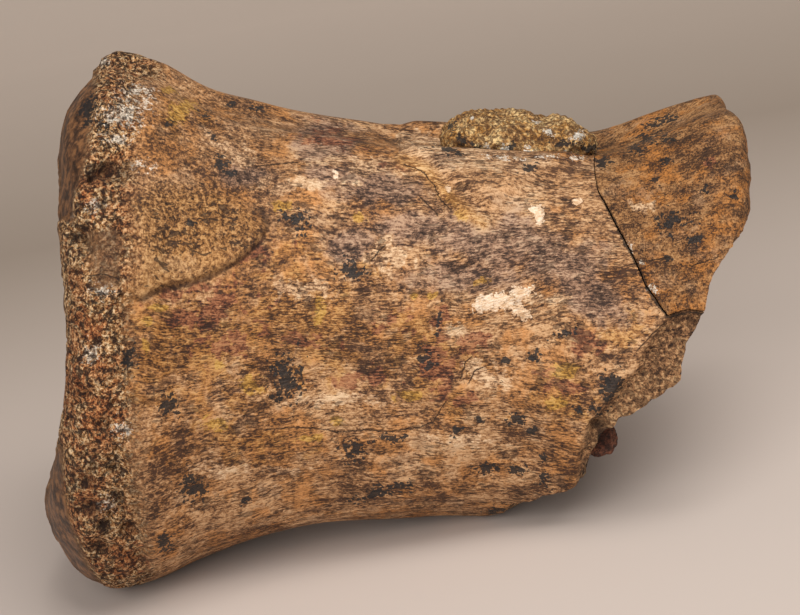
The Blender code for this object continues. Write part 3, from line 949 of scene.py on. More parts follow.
def store(mesh: bpy.types.Mesh, name: str, values: Array) -> None:
    """Keeps one number, or one vector, for each point of a mesh under a name that materials read.

    Args:
        mesh: The mesh.
        name: The name.
        values: The numbers or vectors.
    """
    kind, key = ("FLOAT", "value") if values.ndim == 1 else ("FLOAT_VECTOR", "vector")
    attribute = mesh.attributes.new(name, kind, "POINT")
    attribute.data.foreach_set(key, values.astype(np.float32).ravel())


def linked(name: str, data: bpy.types.ID) -> bpy.types.Object:
    """A new object of the scene, at the origin.

    Args:
        name: Its name.
        data: Its mesh, lamp or camera.

    Returns:
        The object.
    """
    thing = bpy.data.objects.new(name, data)
    bpy.context.scene.collection.objects.link(thing)
    return thing


def combined(name: str, base: bpy.types.Mesh, steps: list[Cut]) -> bpy.types.Mesh:
    """A mesh cut by, or kept inside, other meshes in turn, with the cut points marked by a number.

    Args:
        name: Name of the result.
        base: Closed mesh to start from.
        steps: Pairs of DIFFERENCE or INTERSECT and a closed mesh.

    Returns:
        The result, on which the attribute "cut" is 1 where another mesh's surface shows.
    """
    store(base, "cut", np.zeros(len(base.vertices)))
    things = [linked(name, base)]
    for operation, tool_mesh in steps:
        store(tool_mesh, "cut", np.ones(len(tool_mesh.vertices)))
        things.append(linked("tool", tool_mesh))
        boolean = things[0].modifiers.new(operation, "BOOLEAN")
        boolean.operation, boolean.object, boolean.solver = operation, things[-1], "MANIFOLD"
    result = bpy.data.meshes.new_from_object(things[0].evaluated_get(bpy.context.evaluated_depsgraph_get()))
    result.name = name
    for spent in things:
        bpy.data.objects.remove(spent)
    return result


def largest_part(mesh: bpy.types.Mesh) -> bpy.types.Mesh:
    """Drops loose scraps that a cut left.

    Every point starts with its own number, and the lower number spreads along the edges until nothing
    changes, so that each connected body has one number of its own.

    Args:
        mesh: The mesh, which is changed.

    Returns:
        The same mesh with its largest connected body alone.
    """
    edges = np.empty(len(mesh.edges) * 2, np.int32)
    mesh.edges.foreach_get("vertices", edges)
    start, end = edges.reshape(-1, 2).T
    label, old = np.arange(len(mesh.vertices)), None
    while not np.array_equal(label, old):
        old, low = label, np.minimum(label[start], label[end])
        label = label.copy()
        np.minimum.at(label, start, low)
        np.minimum.at(label, end, low)
        label = label[label]
    names, sizes = np.unique(label, return_counts=True)
    if len(names) > 1:
        body = bmesh.new()
        body.from_mesh(mesh)
        body.verts.ensure_lookup_table()
        scraps = np.nonzero(label != names[np.argmax(sizes)])[0]
        bmesh.ops.delete(body, geom=[body.verts[int(i)] for i in scraps], context="VERTS")
        body.to_mesh(mesh)
        body.free()
    return mesh


# Materials

def linear(colour: Rgb) -> tuple[float, float, float, float]:
    """A colour of 0 to 255 as the renderer counts light: the usual screen curve undone.

    Args:
        colour: Red, green and blue from 0 to 255.

    Returns:
        The same in linear light, with an alpha of 1.
    """
    shares = (part / 255 for part in colour)
    r, g, b = (s / 12.92 if s <= 0.04045 else ((s + 0.055) / 1.055) ** 2.4 for s in shares)
    return r, g, b, 1.0


Socket = bpy.types.NodeSocket


class Graph:
    """A node tree with short ways to add the nodes that the finishes need."""

    def __init__(self, tree: bpy.types.NodeTree) -> None:
        """Starts on a tree."""
        self.tree = tree

    def feed(self, target: Socket, value: object) -> None:
        """Links a socket to another one, or sets its number, vector or colour."""
        if isinstance(value, Socket):
            self.tree.links.new(value, target)
        else:
            target.default_value = value

    def node(self, kind: str, feeds: dict[int | str, object], **settings: object) -> bpy.types.Node:
        """Adds a shader node.

        Args:
            kind: Its type, without the word ShaderNode.
            feeds: The value or the other socket that each of its inputs takes.
            settings: Its own settings.

        Returns:
            The node.
        """
        made = self.tree.nodes.new(f"ShaderNode{kind}")
        for key, value in settings.items():
            setattr(made, key, value)
        for key, value in feeds.items():
            self.feed(made.inputs[key], value)
        return made

    def kept(self, name: str, output: str = "Fac") -> Socket:
        """What is kept for each point under a name, as a number or as its Vector."""
        return self.node("Attribute", {}, attribute_name=name).outputs[output]

    def math(self, operation: str, a: object, b: object = 0.0) -> Socket:
        """One operation on two numbers."""
        return self.node("Math", {0: a, 1: b}, operation=operation).outputs[0]

    def times(self, value: object, share: object) -> Socket:
        """A number multiplied by another one."""
        return self.math("MULTIPLY", value, share)

    def total(self, *terms: tuple[object, object]) -> Socket:
        """The sum of numbers, each multiplied by its own weight."""
        return reduce(partial(self.math, "ADD"), (self.times(*term) for term in terms))

    def vector(self, operation: str, a: object, b: object) -> Socket:
        """One operation on two vectors."""
        return self.node("VectorMath", {0: a, 1: b}, operation=operation).outputs[0]

    def noise(self, place: object, scale: object, detail: float = 3.0, rough: float = 0.6,
              bend: float = 0.0) -> Socket:
        """Cloudy noise from 0 to 1."""
        return self.node("TexNoise", {"Vector": place, "Scale": scale, "Detail": detail, "Roughness": rough,
                                      "Distortion": bend}).outputs["Fac"]

    def swing(self, *noise: object) -> Socket:
        """Cloudy noise from -0.5 to 0.5."""
        return self.math("SUBTRACT", self.noise(*noise), 0.5)

    def cells(self, place: object, scale: object) -> Socket:
        """Distance to the nearest of scattered seeds."""
        return self.node("TexVoronoi", {"Vector": place, "Scale": scale}, feature="F1").outputs["Distance"]

    def step(self, value: object, low: object, high: object) -> Socket:
        """A smooth step from 0 at low to 1 at high."""
        return self.node("MapRange", {"Value": value, "From Min": low, "From Max": high},
                         interpolation_type="SMOOTHSTEP").outputs["Result"]

    def mix(self, share: object, first: object, second: object) -> Socket:
        """Two colours mixed by a share."""
        return self.node("Mix", {0: share, 6: first, 7: second}, data_type="RGBA").outputs[2]

    def between(self, share: object, first: object, second: object) -> Socket:
        """Two numbers mixed by a share."""
        return self.node("Mix", {0: share, 2: first, 3: second}, data_type="FLOAT").outputs[0]

    def ramp(self, value: object, places: tuple[float, ...], tones: tuple[Rgb, ...]) -> Socket:
        """Colours that follow a number, each at its own place.

        Args:
            value: The number.
            places: Where each colour stands, from 0 to 1.
            tones: The colours.

        Returns:
            The colour.
        """
        made = self.node("ValToRGB", {0: value})
        elements = made.color_ramp.elements
        while len(elements) < len(tones):
            elements.new(1.0)
        for element, place, tone in zip(elements, places, tones):
            element.position, element.color = place, linear(tone)
        return made.outputs["Color"]

    def toned(self, value: Socket, tones: Tones) -> Socket:
        """Four tones along the light and dark of a grain, whose values lie close to a half."""
        return self.ramp(value, (0.43, 0.474, 0.518, 0.578), tones)

    def group(self, tree: bpy.types.NodeTree, **values: object) -> bpy.types.bpy_prop_collection:
        """Places a node group.

        Args:
            tree: The group.
            values: What its inputs take.

        Returns:
            Its outputs.
        """
        made = self.node("Group", {}, node_tree=tree)
        for key, value in values.items():
            self.feed(made.inputs[key], value)
        return made.outputs


class Surface(Graph):
    """The graph of one material, whose colour is laid on in coats and goes to a Principled shader."""

    def __init__(self, name: str) -> None:
        """Starts a material."""
        self.material = bpy.data.materials.new(name)
        self.material.use_nodes = True
        super().__init__(self.material.node_tree)
        self.shader = self.tree.nodes["Principled BSDF"]
        self.colour: Socket | None = None

    def coat(self, share: Socket, strength: object, colour: object) -> None:
        """Lays a colour over what is there: the old and the new mixed by the share times the strength."""
        self.colour = self.mix(self.times(share, strength), self.colour, colour)

    def finished(self, roughness: object, height: Socket | None = None, relief_mm: float = 0.0
                 ) -> bpy.types.Material:
        """Feeds the shader.

        Args:
            roughness: Its roughness, a number or a socket.
            height: Height of the fine relief, or None for a smooth surface.
            relief_mm: Millimetres for a height of 1.

        Returns:
            The material.
        """
        self.feed(self.shader.inputs["Base Color"], self.colour)
        self.feed(self.shader.inputs["Roughness"], roughness)
        if height:
            bump = self.node("Bump", {"Strength": 1.0, "Distance": relief_mm * MM, "Height": height})
            self.feed(self.shader.inputs["Normal"], bump.outputs["Normal"])
        return self.material


class SharedEffects:
    """Node groups that more than one finish uses. Each is built once, from one of the methods below."""

    def __init__(self) -> None:
        """Builds the groups."""
        self.grain = self._group("bone_grain", {"Size": 1.0, "Shortness": 1.0}, self._bone_grain)
        self.speckle = self._group("pores_and_grains", {"Size": 1.0}, self._pores_and_grains)
        self.ragged = self._group("ragged_mark", {"Field": 0.0, "Size": 1.0, "Rag": 2.0, "Crumbs": 1.0,
                                                  "Level": 0.3, "Soft": 0.12}, self._ragged_mark)
        self.dots = self._group("black_dots", {"Field": 0.0}, self._black_dots)

    @staticmethod
    def _group(name: str, numbers: dict[str, float], effect: Callable[..., dict[str, Socket]]
               ) -> bpy.types.NodeTree:
        """A node group with named sockets.

        Args:
            name: Its name.
            numbers: Its number inputs, which follow the vector input Place, with their usual values.
            effect: Builds the nodes between a graph's inputs and the outputs that it names.

        Returns:
            The group.
        """
        tree = bpy.data.node_groups.new(name, "ShaderNodeTree")
        tree.interface.new_socket(name="Place", in_out="INPUT", socket_type="NodeSocketVector")
        for title, value in numbers.items():
            socket = tree.interface.new_socket(name=title, in_out="INPUT", socket_type="NodeSocketFloat")
            socket.default_value = value
        graph, given = Graph(tree), tree.nodes.new("NodeGroupInput").outputs
        made = effect(graph, given["Place"], *(given[title] for title in numbers))
        for title in made:
            tree.interface.new_socket(name=title, in_out="OUTPUT", socket_type="NodeSocketFloat")
        ends = tree.nodes.new("NodeGroupOutput").inputs
        for title, value in made.items():
            graph.feed(ends[title], value)
        return tree

    @staticmethod
    def _bone_grain(graph: Graph, place: Socket, size: Socket, short: Socket) -> dict[str, Socket]:
        """Fibres along the bone with grit between them, short dark slits, and their height.

        Args:
            graph: The group's graph.
            place: Places in the bone's grain.
            size: Fineness.
            short: Shortness of the fibres.

        Returns:
            The outputs by name.
        """
        sway = graph.node("TexNoise", {"Vector": place, "Scale": 0.09}).outputs["Color"]
        bent = graph.vector("ADD", place, graph.vector("MULTIPLY", sway, (1.0, 2.6, 2.6)))

        def drawn(length: float, scale: float, detail: float, rough: float, bend: float) -> Socket:
            """Noise drawn out along the bone: its length share times the group's own shortness.

            Args:
                length: Share that its length along the bone shrinks by.
                scale: Fineness across the bone.
                detail: Number of finer layers.
                rough: Strength of the finer layers.
                bend: Distortion.

            Returns:
                The noise.
            """
            share = graph.node("CombineXYZ", {0: graph.times(short, length), 1: 1.0, 2: 1.0}).outputs[0]
            place = graph.vector("MULTIPLY", bent, share)
            return graph.noise(place, graph.times(size, scale), detail, rough, bend)

        threads = drawn(0.20, 4.4, 3.0, 0.6, 0.3)
        streaks = drawn(0.15, 1.0, 3.0, 0.65, 0.3)
        grit = drawn(0.60, 3.2, 3.0, 0.75, 0.2)
        crowd = graph.total((drawn(0.24, 3.0, 2.0, 0.55, 0.5), 1.0), (graph.noise(place, 0.35, 2.0), 0.9))
        slits = graph.step(crowd, 1.075, 1.12)
        height = graph.total((threads, 0.7), (streaks, 0.5), (grit, 0.7), (slits, -0.5))
        return {"Threads": threads, "Streaks": streaks, "Grit": grit, "Slits": slits, "Height": height}

    @staticmethod
    def _pores_and_grains(graph: Graph, place: Socket, size: Socket) -> dict[str, Socket]:
        """Spongy bone or sand: rounded pores, grains of mixed tone, and their height.

        Args:
            graph: The group's graph.
            place: Places.
            size: Fineness.

        Returns:
            The outputs by name.
        """
        fine = graph.noise(place, graph.times(size, 1.3), 4.0, 0.75, 0.4)
        pores = graph.step(graph.total((fine, 1.0), (graph.cells(place, size), -0.16)), 0.42, 0.34)
        tone = graph.noise(place, graph.times(size, 0.9), 4.0, 0.85, 0.2)
        return {"Pores": pores, "Tone": tone, "Height": graph.total((fine, 0.8), (pores, -0.5))}

    @staticmethod
    def _ragged_mark(graph: Graph, place: Socket, field: Socket, size: Socket, rag: Socket, crumbs: Socket,
                     level: Socket, soft: Socket) -> dict[str, Socket]:
        """A soft field as a mark that breaks up at its edge: field plus two noises, cut at a level.

        Args:
            graph: The group's graph.
            place: Places.
            field: The soft field.
            size: Fineness of the edge.
            rag: Strength of the coarse noise.
            crumbs: Strength of the fine one.
            level: The cut's level.
            soft: Its softness.

        Returns:
            The mask by its name.
        """
        wild = graph.swing(place, size, 2.0, 0.6, 0.6)
        crumb = graph.swing(place, graph.times(size, 3.1), 3.0, 0.75)
        shifted = graph.total((field, 1.0), (wild, rag), (crumb, crumbs))
        return {"Mask": graph.step(shifted, level, graph.math("ADD", level, soft))}

    @staticmethod
    def _black_dots(graph: Graph, place: Socket, field: Socket) -> dict[str, Socket]:
        """A soft field as a cluster of round dots that runs together towards its middle.

        Args:
            graph: The group's graph.
            place: Places.
            field: The soft field.

        Returns:
            The mask by its name.
        """
        dots = graph.math("SUBTRACT", 0.40, graph.cells(place, 1.5))
        small = graph.math("SUBTRACT", 0.42, graph.cells(place, 3.4))
        wild = graph.swing(place, 0.8, 3.0, 0.6, 0.4)
        shifted = graph.total((field, 1.0), (dots, 1.5), (small, 0.9), (wild, 2.6))
        return {"Mask": graph.step(shifted, 0.02, 0.13)}


@dataclass(frozen=True)
class Stain:
    """How one kind of mark colours the bone: four tones from its grooves to its crests, and its border."""

    kind: Mark
    tones: Tones
    strength: float
    size: float
    rag: float
    crumbs: float
    level: float
    soft: float

    def mask(self, graph: Graph, shared: SharedEffects, place: Socket) -> Socket:
        """Where the mark is: the field kept for it, with its ragged border."""
        return graph.group(shared.ragged, Field=graph.kept(self.kind.value), Place=place, Size=self.size,
                           Rag=self.rag, Crumbs=self.crumbs, Level=self.level, Soft=self.soft)[0]


STAINS: tuple[Stain, ...] = (
    Stain(Mark.WARM, ((58, 33, 14), (118, 76, 35), (158, 107, 51), (194, 146, 86)),
          0.75, 0.3, 3.5, 1.5, 0.0, 0.7),
    Stain(Mark.VIOLET, ((52, 37, 31), (102, 77, 62), (138, 107, 88), (178, 148, 124)),
          0.85, 0.22, 2.6, 1.2, -0.45, 1.0),
    Stain(Mark.PALE, ((100, 72, 50), (166, 128, 94), (200, 163, 126), (224, 195, 160)),
          0.85, 0.4, 3.6, 2.0, 0.05, 0.5),
    Stain(Mark.RUST, ((48, 25, 18), (100, 54, 36), (136, 82, 54), (168, 116, 80)),
          0.88, 0.4, 5.0, 2.5, 0.15, 0.4),
    Stain(Mark.OCHRE, ((106, 74, 28), (158, 116, 46), (184, 140, 64), (202, 162, 90)),
          0.85, 0.6, 3.0, 1.8, -0.1, 0.4))
WHITE_GRAINS = Stain(Mark.WHITE, ((124, 105, 88), (196, 178, 158), (221, 207, 189), (232, 226, 216)),
                     0.85, 1.0, 4.0, 5.0, 0.25, 0.3)
CREAM_CRYSTALS = Stain(Mark.CREAM, ((206, 166, 128), (224, 192, 158), (232, 206, 178), (240, 220, 198)),
                       0.92, 0.9, 2.0, 1.2, 0.12, 0.12)


class Coat(Enum):
    """Zones that have their own four tones, from grooves to crests."""

    DULL = ((48, 34, 26), (98, 74, 56), (128, 100, 78), (164, 134, 108))
    LAYER = ((54, 32, 15), (108, 72, 36), (144, 101, 55), (188, 146, 96))
    SCAR = ((92, 62, 42), (154, 115, 80), (186, 148, 110), (212, 178, 142))
    RIDGE = ((128, 84, 40), (180, 130, 74), (204, 156, 98), (224, 186, 134))
    SPALL = ((62, 40, 25), (124, 87, 57), (158, 116, 78), (196, 157, 114))
    CUT = ((66, 42, 27), (128, 90, 58), (168, 126, 86), (204, 170, 130))
    RIM = ((72, 41, 22), (156, 106, 59), (198, 150, 95), (238, 209, 168))
    RUSTY_RIM = ((62, 27, 13), (138, 72, 34), (180, 108, 56), (212, 154, 100))


@dataclass(frozen=True)
class BoneFinish:
    """Mineralised bone: fibres, pores, stains, and painted shade in pits and under the layer's step, all placed
    by what is kept for each point.
    """

    name: str
    groove: Rgb = (70, 44, 28)
    body: Rgb = (128, 90, 58)
    light: Rgb = (166, 123, 83)
    crest: Rgb = (204, 164, 123)
    warm_groove: Rgb = (66, 38, 20)
    warm: Rgb = (164, 108, 53)
    warm_share: float = 0.7
    slit: Rgb = (46, 29, 19)
    pore: Rgb = (40, 20, 12)
    lip_tones: tuple[Rgb, Rgb, Rgb] = ((44, 27, 16), (84, 55, 34), (122, 84, 52))
    mineral: Rgb = (26, 24, 25)
    glue: Rgb = (42, 33, 27)
    hairline: Rgb = (44, 28, 19)
    # Colour of the painted shade in the pits and of the painted shadow under the layer's step.
    pit_and_step_shade: Rgb = (42, 24, 15)
    thread_size: float = 1.0
    shortness: float = 1.0
    relief_mm: float = 0.30
    base_roughness: float = 0.7
    specular: float = 0.35

    def warm_tones(self) -> Tones:
        """The warm colour at 0.8, 1 and 1.2 times its strength, over its own groove."""
        darker, brighter = (tuple(min(255, int(part * share)) for part in self.warm) for share in (0.8, 1.2))
        return self.warm_groove, darker, self.warm, brighter

    def build(self, shared: SharedEffects) -> bpy.types.Material:
        """Lays the colours on from the grain outwards to the marks, and adds up the fine relief.

        Args:
            shared: The node groups.

        Returns:
            The material.
        """
        skin = Surface(self.name)
        along_grain, place = skin.kept("grain", "Vector"), skin.kept("bone_place", "Vector")
        grain = skin.group(shared.grain, Place=along_grain, Size=self.thread_size, Shortness=self.shortness)
        sponge, sand = (skin.group(shared.speckle, Place=place, Size=size) for size in (1.0, 2.0))
        rim, lip, cut, layer, spall = (skin.kept(zone) for zone in ("rim", "lip", "cut", "layer", "spall"))
        cloud = skin.swing(place, 0.5, 3.0, 0.65)
        fibrous = skin.total((grain["Threads"], 0.34), (grain["Streaks"], 0.24), (grain["Grit"], 0.42),
                             (cloud, 0.24))
        granular = skin.between(skin.times(skin.kept("coarse"), 0.65), fibrous, sand["Tone"])
        tone = skin.total((granular, 1.0), (skin.swing(place, 0.11), 0.25))

        def patches(where: Socket, scale: float, detail: float, rough: float, edge: Pair) -> Socket:
            """Cloudy patches: noise cut by a smooth step."""
            return skin.step(skin.noise(where, scale, detail, rough), *edge)

        def sandy(share: float) -> Socket:
            """The grain's tone with a share of sand in it."""
            return skin.total((tone, 1 - share), (sand["Tone"], share))

        skin.colour = skin.toned(tone, (self.groove, self.body, self.light, self.crest))
        skin.coat(patches(along_grain, 0.16, 4.0, 0.68, (0.45, 0.60)), self.warm_share,
                  skin.toned(tone, self.warm_tones()))
        skin.coat(patches(place, 0.23, 4.0, 0.7, (0.52, 0.64)), 0.4, skin.toned(tone, Coat.DULL.value))
        masks = {stain.kind: stain.mask(skin, shared, place) for stain in STAINS}
        for stain in STAINS:
            skin.coat(masks[stain.kind], stain.strength, skin.toned(tone, stain.tones))
        skin.coat(layer, 0.8, skin.toned(sandy(0.4), Coat.LAYER.value))
        skin.coat(skin.kept("scar"), 0.55, skin.toned(tone, Coat.SCAR.value))
        skin.coat(skin.kept("ridge"), 0.75, skin.toned(tone, Coat.RIDGE.value))
        skin.coat(grain["Slits"], skin.between(layer, 0.56, 0.8), linear(self.slit))
        skin.coat(spall, 1.0, skin.toned(sandy(0.5), Coat.SPALL.value))
        skin.coat(cut, 1.0, skin.toned(sponge["Tone"], Coat.CUT.value))
        rust = skin.math("MAXIMUM", skin.times(patches(place, 0.28, 3.0, 0.65, (0.48, 0.60)), 0.75),
                         masks[Mark.RUST])
        skin.coat(rim, 0.9, skin.mix(skin.times(rust, 0.9), skin.toned(sand["Tone"], Coat.RIM.value),
                                     skin.toned(sand["Tone"], Coat.RUSTY_RIM.value)))
        skin.coat(WHITE_GRAINS.mask(skin, shared, place), WHITE_GRAINS.strength,
                  skin.toned(sand["Tone"], WHITE_GRAINS.tones))
        open_bone = skin.math("MAXIMUM", rim, skin.math("MAXIMUM", cut, skin.times(spall, 0.6)))
        skin.coat(sponge["Pores"], skin.times(open_bone, 0.9), linear(self.pore))
        skin.coat(lip, 1.0, skin.ramp(skin.noise(place, 0.7, 4.0, 0.7), (0.40, 0.50, 0.60), self.lip_tones))
        skin.coat(CREAM_CRYSTALS.mask(skin, shared, place), CREAM_CRYSTALS.strength,
                  skin.toned(tone, CREAM_CRYSTALS.tones))
        specks = skin.step(skin.total((skin.noise(place, 3.0, 3.0, 0.7), 1.0), (cloud, -0.5)), 0.66, 0.72)
        dots = skin.group(shared.dots, Field=skin.kept(Mark.BLACK.value), Place=place)[0]
        black = skin.math("MAXIMUM", dots, skin.times(specks, 0.7))
        skin.coat(black, 0.93, linear(self.mineral))
        jitter = skin.swing(place, 1.6, 3.0, 0.7)

        def line(name: str, wander: float, wide: float, narrow: float) -> Socket:
            """A crack's line: dark where the distance kept for it, plus some wander, is small."""
            gap = skin.math("ABSOLUTE", skin.total((skin.kept(name), 1.0), (jitter, wander)))
            return skin.times(skin.step(gap, wide, narrow), skin.kept(f"{name}_on"))

        glue, hairline = line("crack", 0.9, 0.26, 0.08), line("hair", 0.72, 0.12, 0.03)
        skin.coat(glue, 0.85, linear(self.glue))
        skin.coat(hairline, 0.85, linear(self.hairline))
        # Painted shade in the pits and painted shadow under the layer's step.
        skin.coat(skin.kept("pit_and_step_shade"), 0.8, linear(self.pit_and_step_shade))

        skin.feed(skin.shader.inputs["Specular IOR Level"], self.specular)
        rough = skin.between(black, skin.between(lip, self.base_roughness, 0.5), 0.48)
        calm = skin.times(skin.math("SUBTRACT", 1.0, open_bone), skin.math("SUBTRACT", 1.0, lip))
        spongy = skin.total((sponge["Height"], 1.5), (sand["Height"], 0.8))
        height = skin.total((grain["Height"], calm), (spongy, open_bone),
                            (skin.noise(place, 1.2, 4.0), skin.times(lip, 0.5)), (hairline, -0.7), (glue, -0.6),
                            (black, 0.12))
        return skin.finished(skin.between(open_bone, rough, 0.85), height, self.relief_mm)


@dataclass(frozen=True)
class RockFinish:
    """Sandy rock matrix: grains of mixed tone with pores, and white crystals where they are kept."""

    name: str
    dark: Rgb
    middle: Rgb
    light: Rgb
    stain: Rgb
    crystal: Rgb = (236, 228, 216)
    mineral: Rgb = (40, 35, 34)
    grain_size: float = 1.6
    relief_mm: float = 0.55

    def build(self, shared: SharedEffects) -> bpy.types.Material:
        """Lays golden patches, pores, crystals and black dots over the sand.

        Args:
            shared: The node groups.

        Returns:
            The material.
        """
        rock = Surface(self.name)
        place = rock.kept("bone_place", "Vector")
        sand = rock.group(shared.speckle, Place=place, Size=self.grain_size)
        tone = rock.total((sand["Tone"], 0.65), (rock.noise(place, 0.4), 0.35))
        rock.colour = rock.ramp(tone, (0.40, 0.49, 0.57), (self.dark, self.middle, self.light))
        rock.coat(rock.step(rock.noise(place, 0.33), 0.46, 0.56), 0.6,
                  rock.ramp(tone, (0.40, 0.50, 0.59), (self.dark, self.stain, self.light)))
        rock.coat(sand["Pores"], 0.75, linear(self.dark))
        crystals = rock.group(shared.ragged, Field=rock.kept("crystal"), Place=place, Size=1.2, Rag=3.0,
                              Crumbs=3.0, Level=0.35, Soft=0.3)[0]
        rock.coat(crystals, 1.0, linear(self.crystal))
        black = rock.group(shared.dots, Field=rock.kept("black"), Place=place)[0]
        rock.coat(black, 0.9, linear(self.mineral))
        return rock.finished(rock.between(crystals, 0.88, 0.35), sand["Height"], self.relief_mm)


@dataclass(frozen=True)
class PaintedShadeFloor:
    """Matt card under and behind the bone: pale in front, darker just behind the bone and brightest up the
    wall. The darker band is painted shade and the brighter wall is painted light against the lamps' falloff.
    """

    name: str = "pale_floor_painted_shade"
    # Front, painted shade behind the bone, and painted light on the far wall.
    tones: tuple[Rgb, Rgb, Rgb] = ((194, 183, 177), (156, 143, 132), (218, 204, 193))
    places: tuple[float, float, float] = (0.0, 0.40, 1.0)
    reach: float = 0.55
    roughness: float = 0.9

    def build(self) -> bpy.types.Material:
        """The material: its colour, with its painted shade and painted light, runs along the floor's depth,
        with a faint cloudiness.
        """
        card = Surface(self.name)
        place = card.node("TexCoord", {}).outputs["Object"]
        depth = card.node("SeparateXYZ", {0: place}).outputs[1]
        way = card.total((depth, 1 / self.reach), (card.swing(place, 3.0), 0.12))
        card.colour = card.ramp(way, self.places, self.tones)
        return card.finished(self.roughness)


# The pieces

@dataclass(frozen=True)
class BreakTools:
    """The broken corner and the glued crack as closed blocks that cut the bone, in millimetres."""

    break_edge: Outline = (
        (47.6, 20.6), (44.2, 16.6), (41.9, 13.6), (40.4, 10.9), (39.8, 6.8), (38.8, 4.6), (37.6, 2.4),
        (37.1, -2.3), (35.4, -4.0), (33.0, -6.2), (30.8, -7.9), (29.3, -8.8), (27.4, -11.4), (26.2, -14.0),
        (25.1, -16.3), (24.6, -19.0), (22.9, -20.8), (19.8, -21.9), (16.4, -24.6), (12.9, -27.6),
        (11.0, -29.4), (9.8, -32.4))
    crack: Outline = (
        (28.6, 36.0), (27.4, 27.0), (26.4, 24.0), (26.7, 20.5), (28.1, 17.9), (30.2, 14.1), (32.3, 9.8),
        (34.9, 6.3), (37.6, 7.3), (40.2, 6.9), (52.0, 6.4))
    break_step: float = 0.55
    break_slices: int = 150
    crack_step: float = 0.6
    crack_slices: int = 140
    roughness: float = 0.9
    lean: float = 0.06
    wander: float = 1.6
    gap: Pair = (0.19, 0.29)
    reach: float = 42.0
    outside: float = 80.0

    def refined(self, edge: Outline, longest: float) -> Array:
        """An outline with its stretches divided evenly along their length.

        Args:
            edge: Corners of the outline.
            longest: Length of the longest stretch that stays.

        Returns:
            The corners with the points between them.
        """
        corners = np.array(edge, float)
        run = np.concatenate([[0], np.cumsum(np.linalg.norm(np.diff(corners, axis=0), axis=1))])
        at = np.unique(np.concatenate([np.linspace(0, run[-1], max(2, int(run[-1] / longest))), run]))
        return np.stack([np.interp(at, run, corners[:, 0]), np.interp(at, run, corners[:, 1])], axis=-1)

    def block(self, name: str, outline: Array, bend: Callable[[Array], Array], slices: int) -> bpy.types.Mesh:
        """A closed block whose side follows an outline in X and Z, drawn across the bone in bent slices.

        Args:
            name: Its name.
            outline: Corners of the outline.
            bend: Moves the points of the straight block.
            slices: Number of slices along Y.

        Returns:
            The block.
        """
        rings = np.zeros((slices, len(outline), 3))
        rings[..., 0], rings[..., 2] = outline.T[:, None]
        rings[..., 1] = np.linspace(-self.reach, self.reach, slices)[:, None]
        return ring_mesh(name, bend(rings))

    def break_bend(self, points: Array) -> Array:
        """The break leans with depth and is rough: the solid's broad lumps, and finer spongy ones.

        Args:
            points: Points of the straight block.

        Returns:
            The same points moved.
        """
        x, y, z = parts(points)
        inside = (np.abs(x) < self.outside) & (np.abs(z) < self.outside)
        rough = self.roughness * lumps(points, 5.0, 31) * ramp((y + 26) / 12)
        spongy = 0.35 * layered(points, 1.8, 33) + 0.5 * holes(points, 2.0, 35, 0.42, 0.3)
        shift = rough + self.lean * (y + 22) - spongy * ramp((y + 30) / 6)
        return points + np.stack([shift * inside, 0 * x, (-0.6 * rough + 0.5 * spongy) * inside], axis=-1)

    def crack_bend(self, way: float, points: Array) -> Array:
        """The crack's own wandering with depth, moved aside by a share of its gap.

        Args:
            way: The share, positive to the fragment's side.
            points: Points of the straight block.

        Returns:
            The same points moved.
        """
        x, y, z = parts(points)
        wander = self.wander * (lumps(points * (0, 1, 0) + (3.3, 0, 7.7), 14.0, 5) - 0.15)
        rough = 0.22 * layered(points, 1.6, 37)
        wander = (wander * ramp((y + 22) / 12) + rough) * (np.abs(x) < self.outside)
        return points + np.stack([wander + way * self.gap[0], 0 * x, 0 * z + way * self.gap[1]], axis=-1)

    def lost_corner(self) -> bpy.types.Mesh:
        """The block that takes the lost corner away."""
        end = [(self.break_edge[-1][0], -self.outside), (self.outside, -self.outside),
               (self.outside, self.break_edge[0][1])]
        outline = np.vstack([self.refined(self.break_edge, self.break_step), end])
        return self.block("lost_corner", outline, self.break_bend, self.break_slices)

    def fragment_zone(self, way: float) -> bpy.types.Mesh:
        """The block that holds the glued fragment, with its face on one side of the gap.

        Args:
            way: Share of the gap that its face is moved by.

        Returns:
            The block.
        """
        end = [(self.outside, self.crack[-1][1]), (self.outside, self.outside),
               (self.crack[0][0], self.outside)]
        outline = np.vstack([self.refined(self.crack, self.crack_step), end])
        return self.block("fragment_zone", outline, partial(self.crack_bend, way), self.crack_slices)


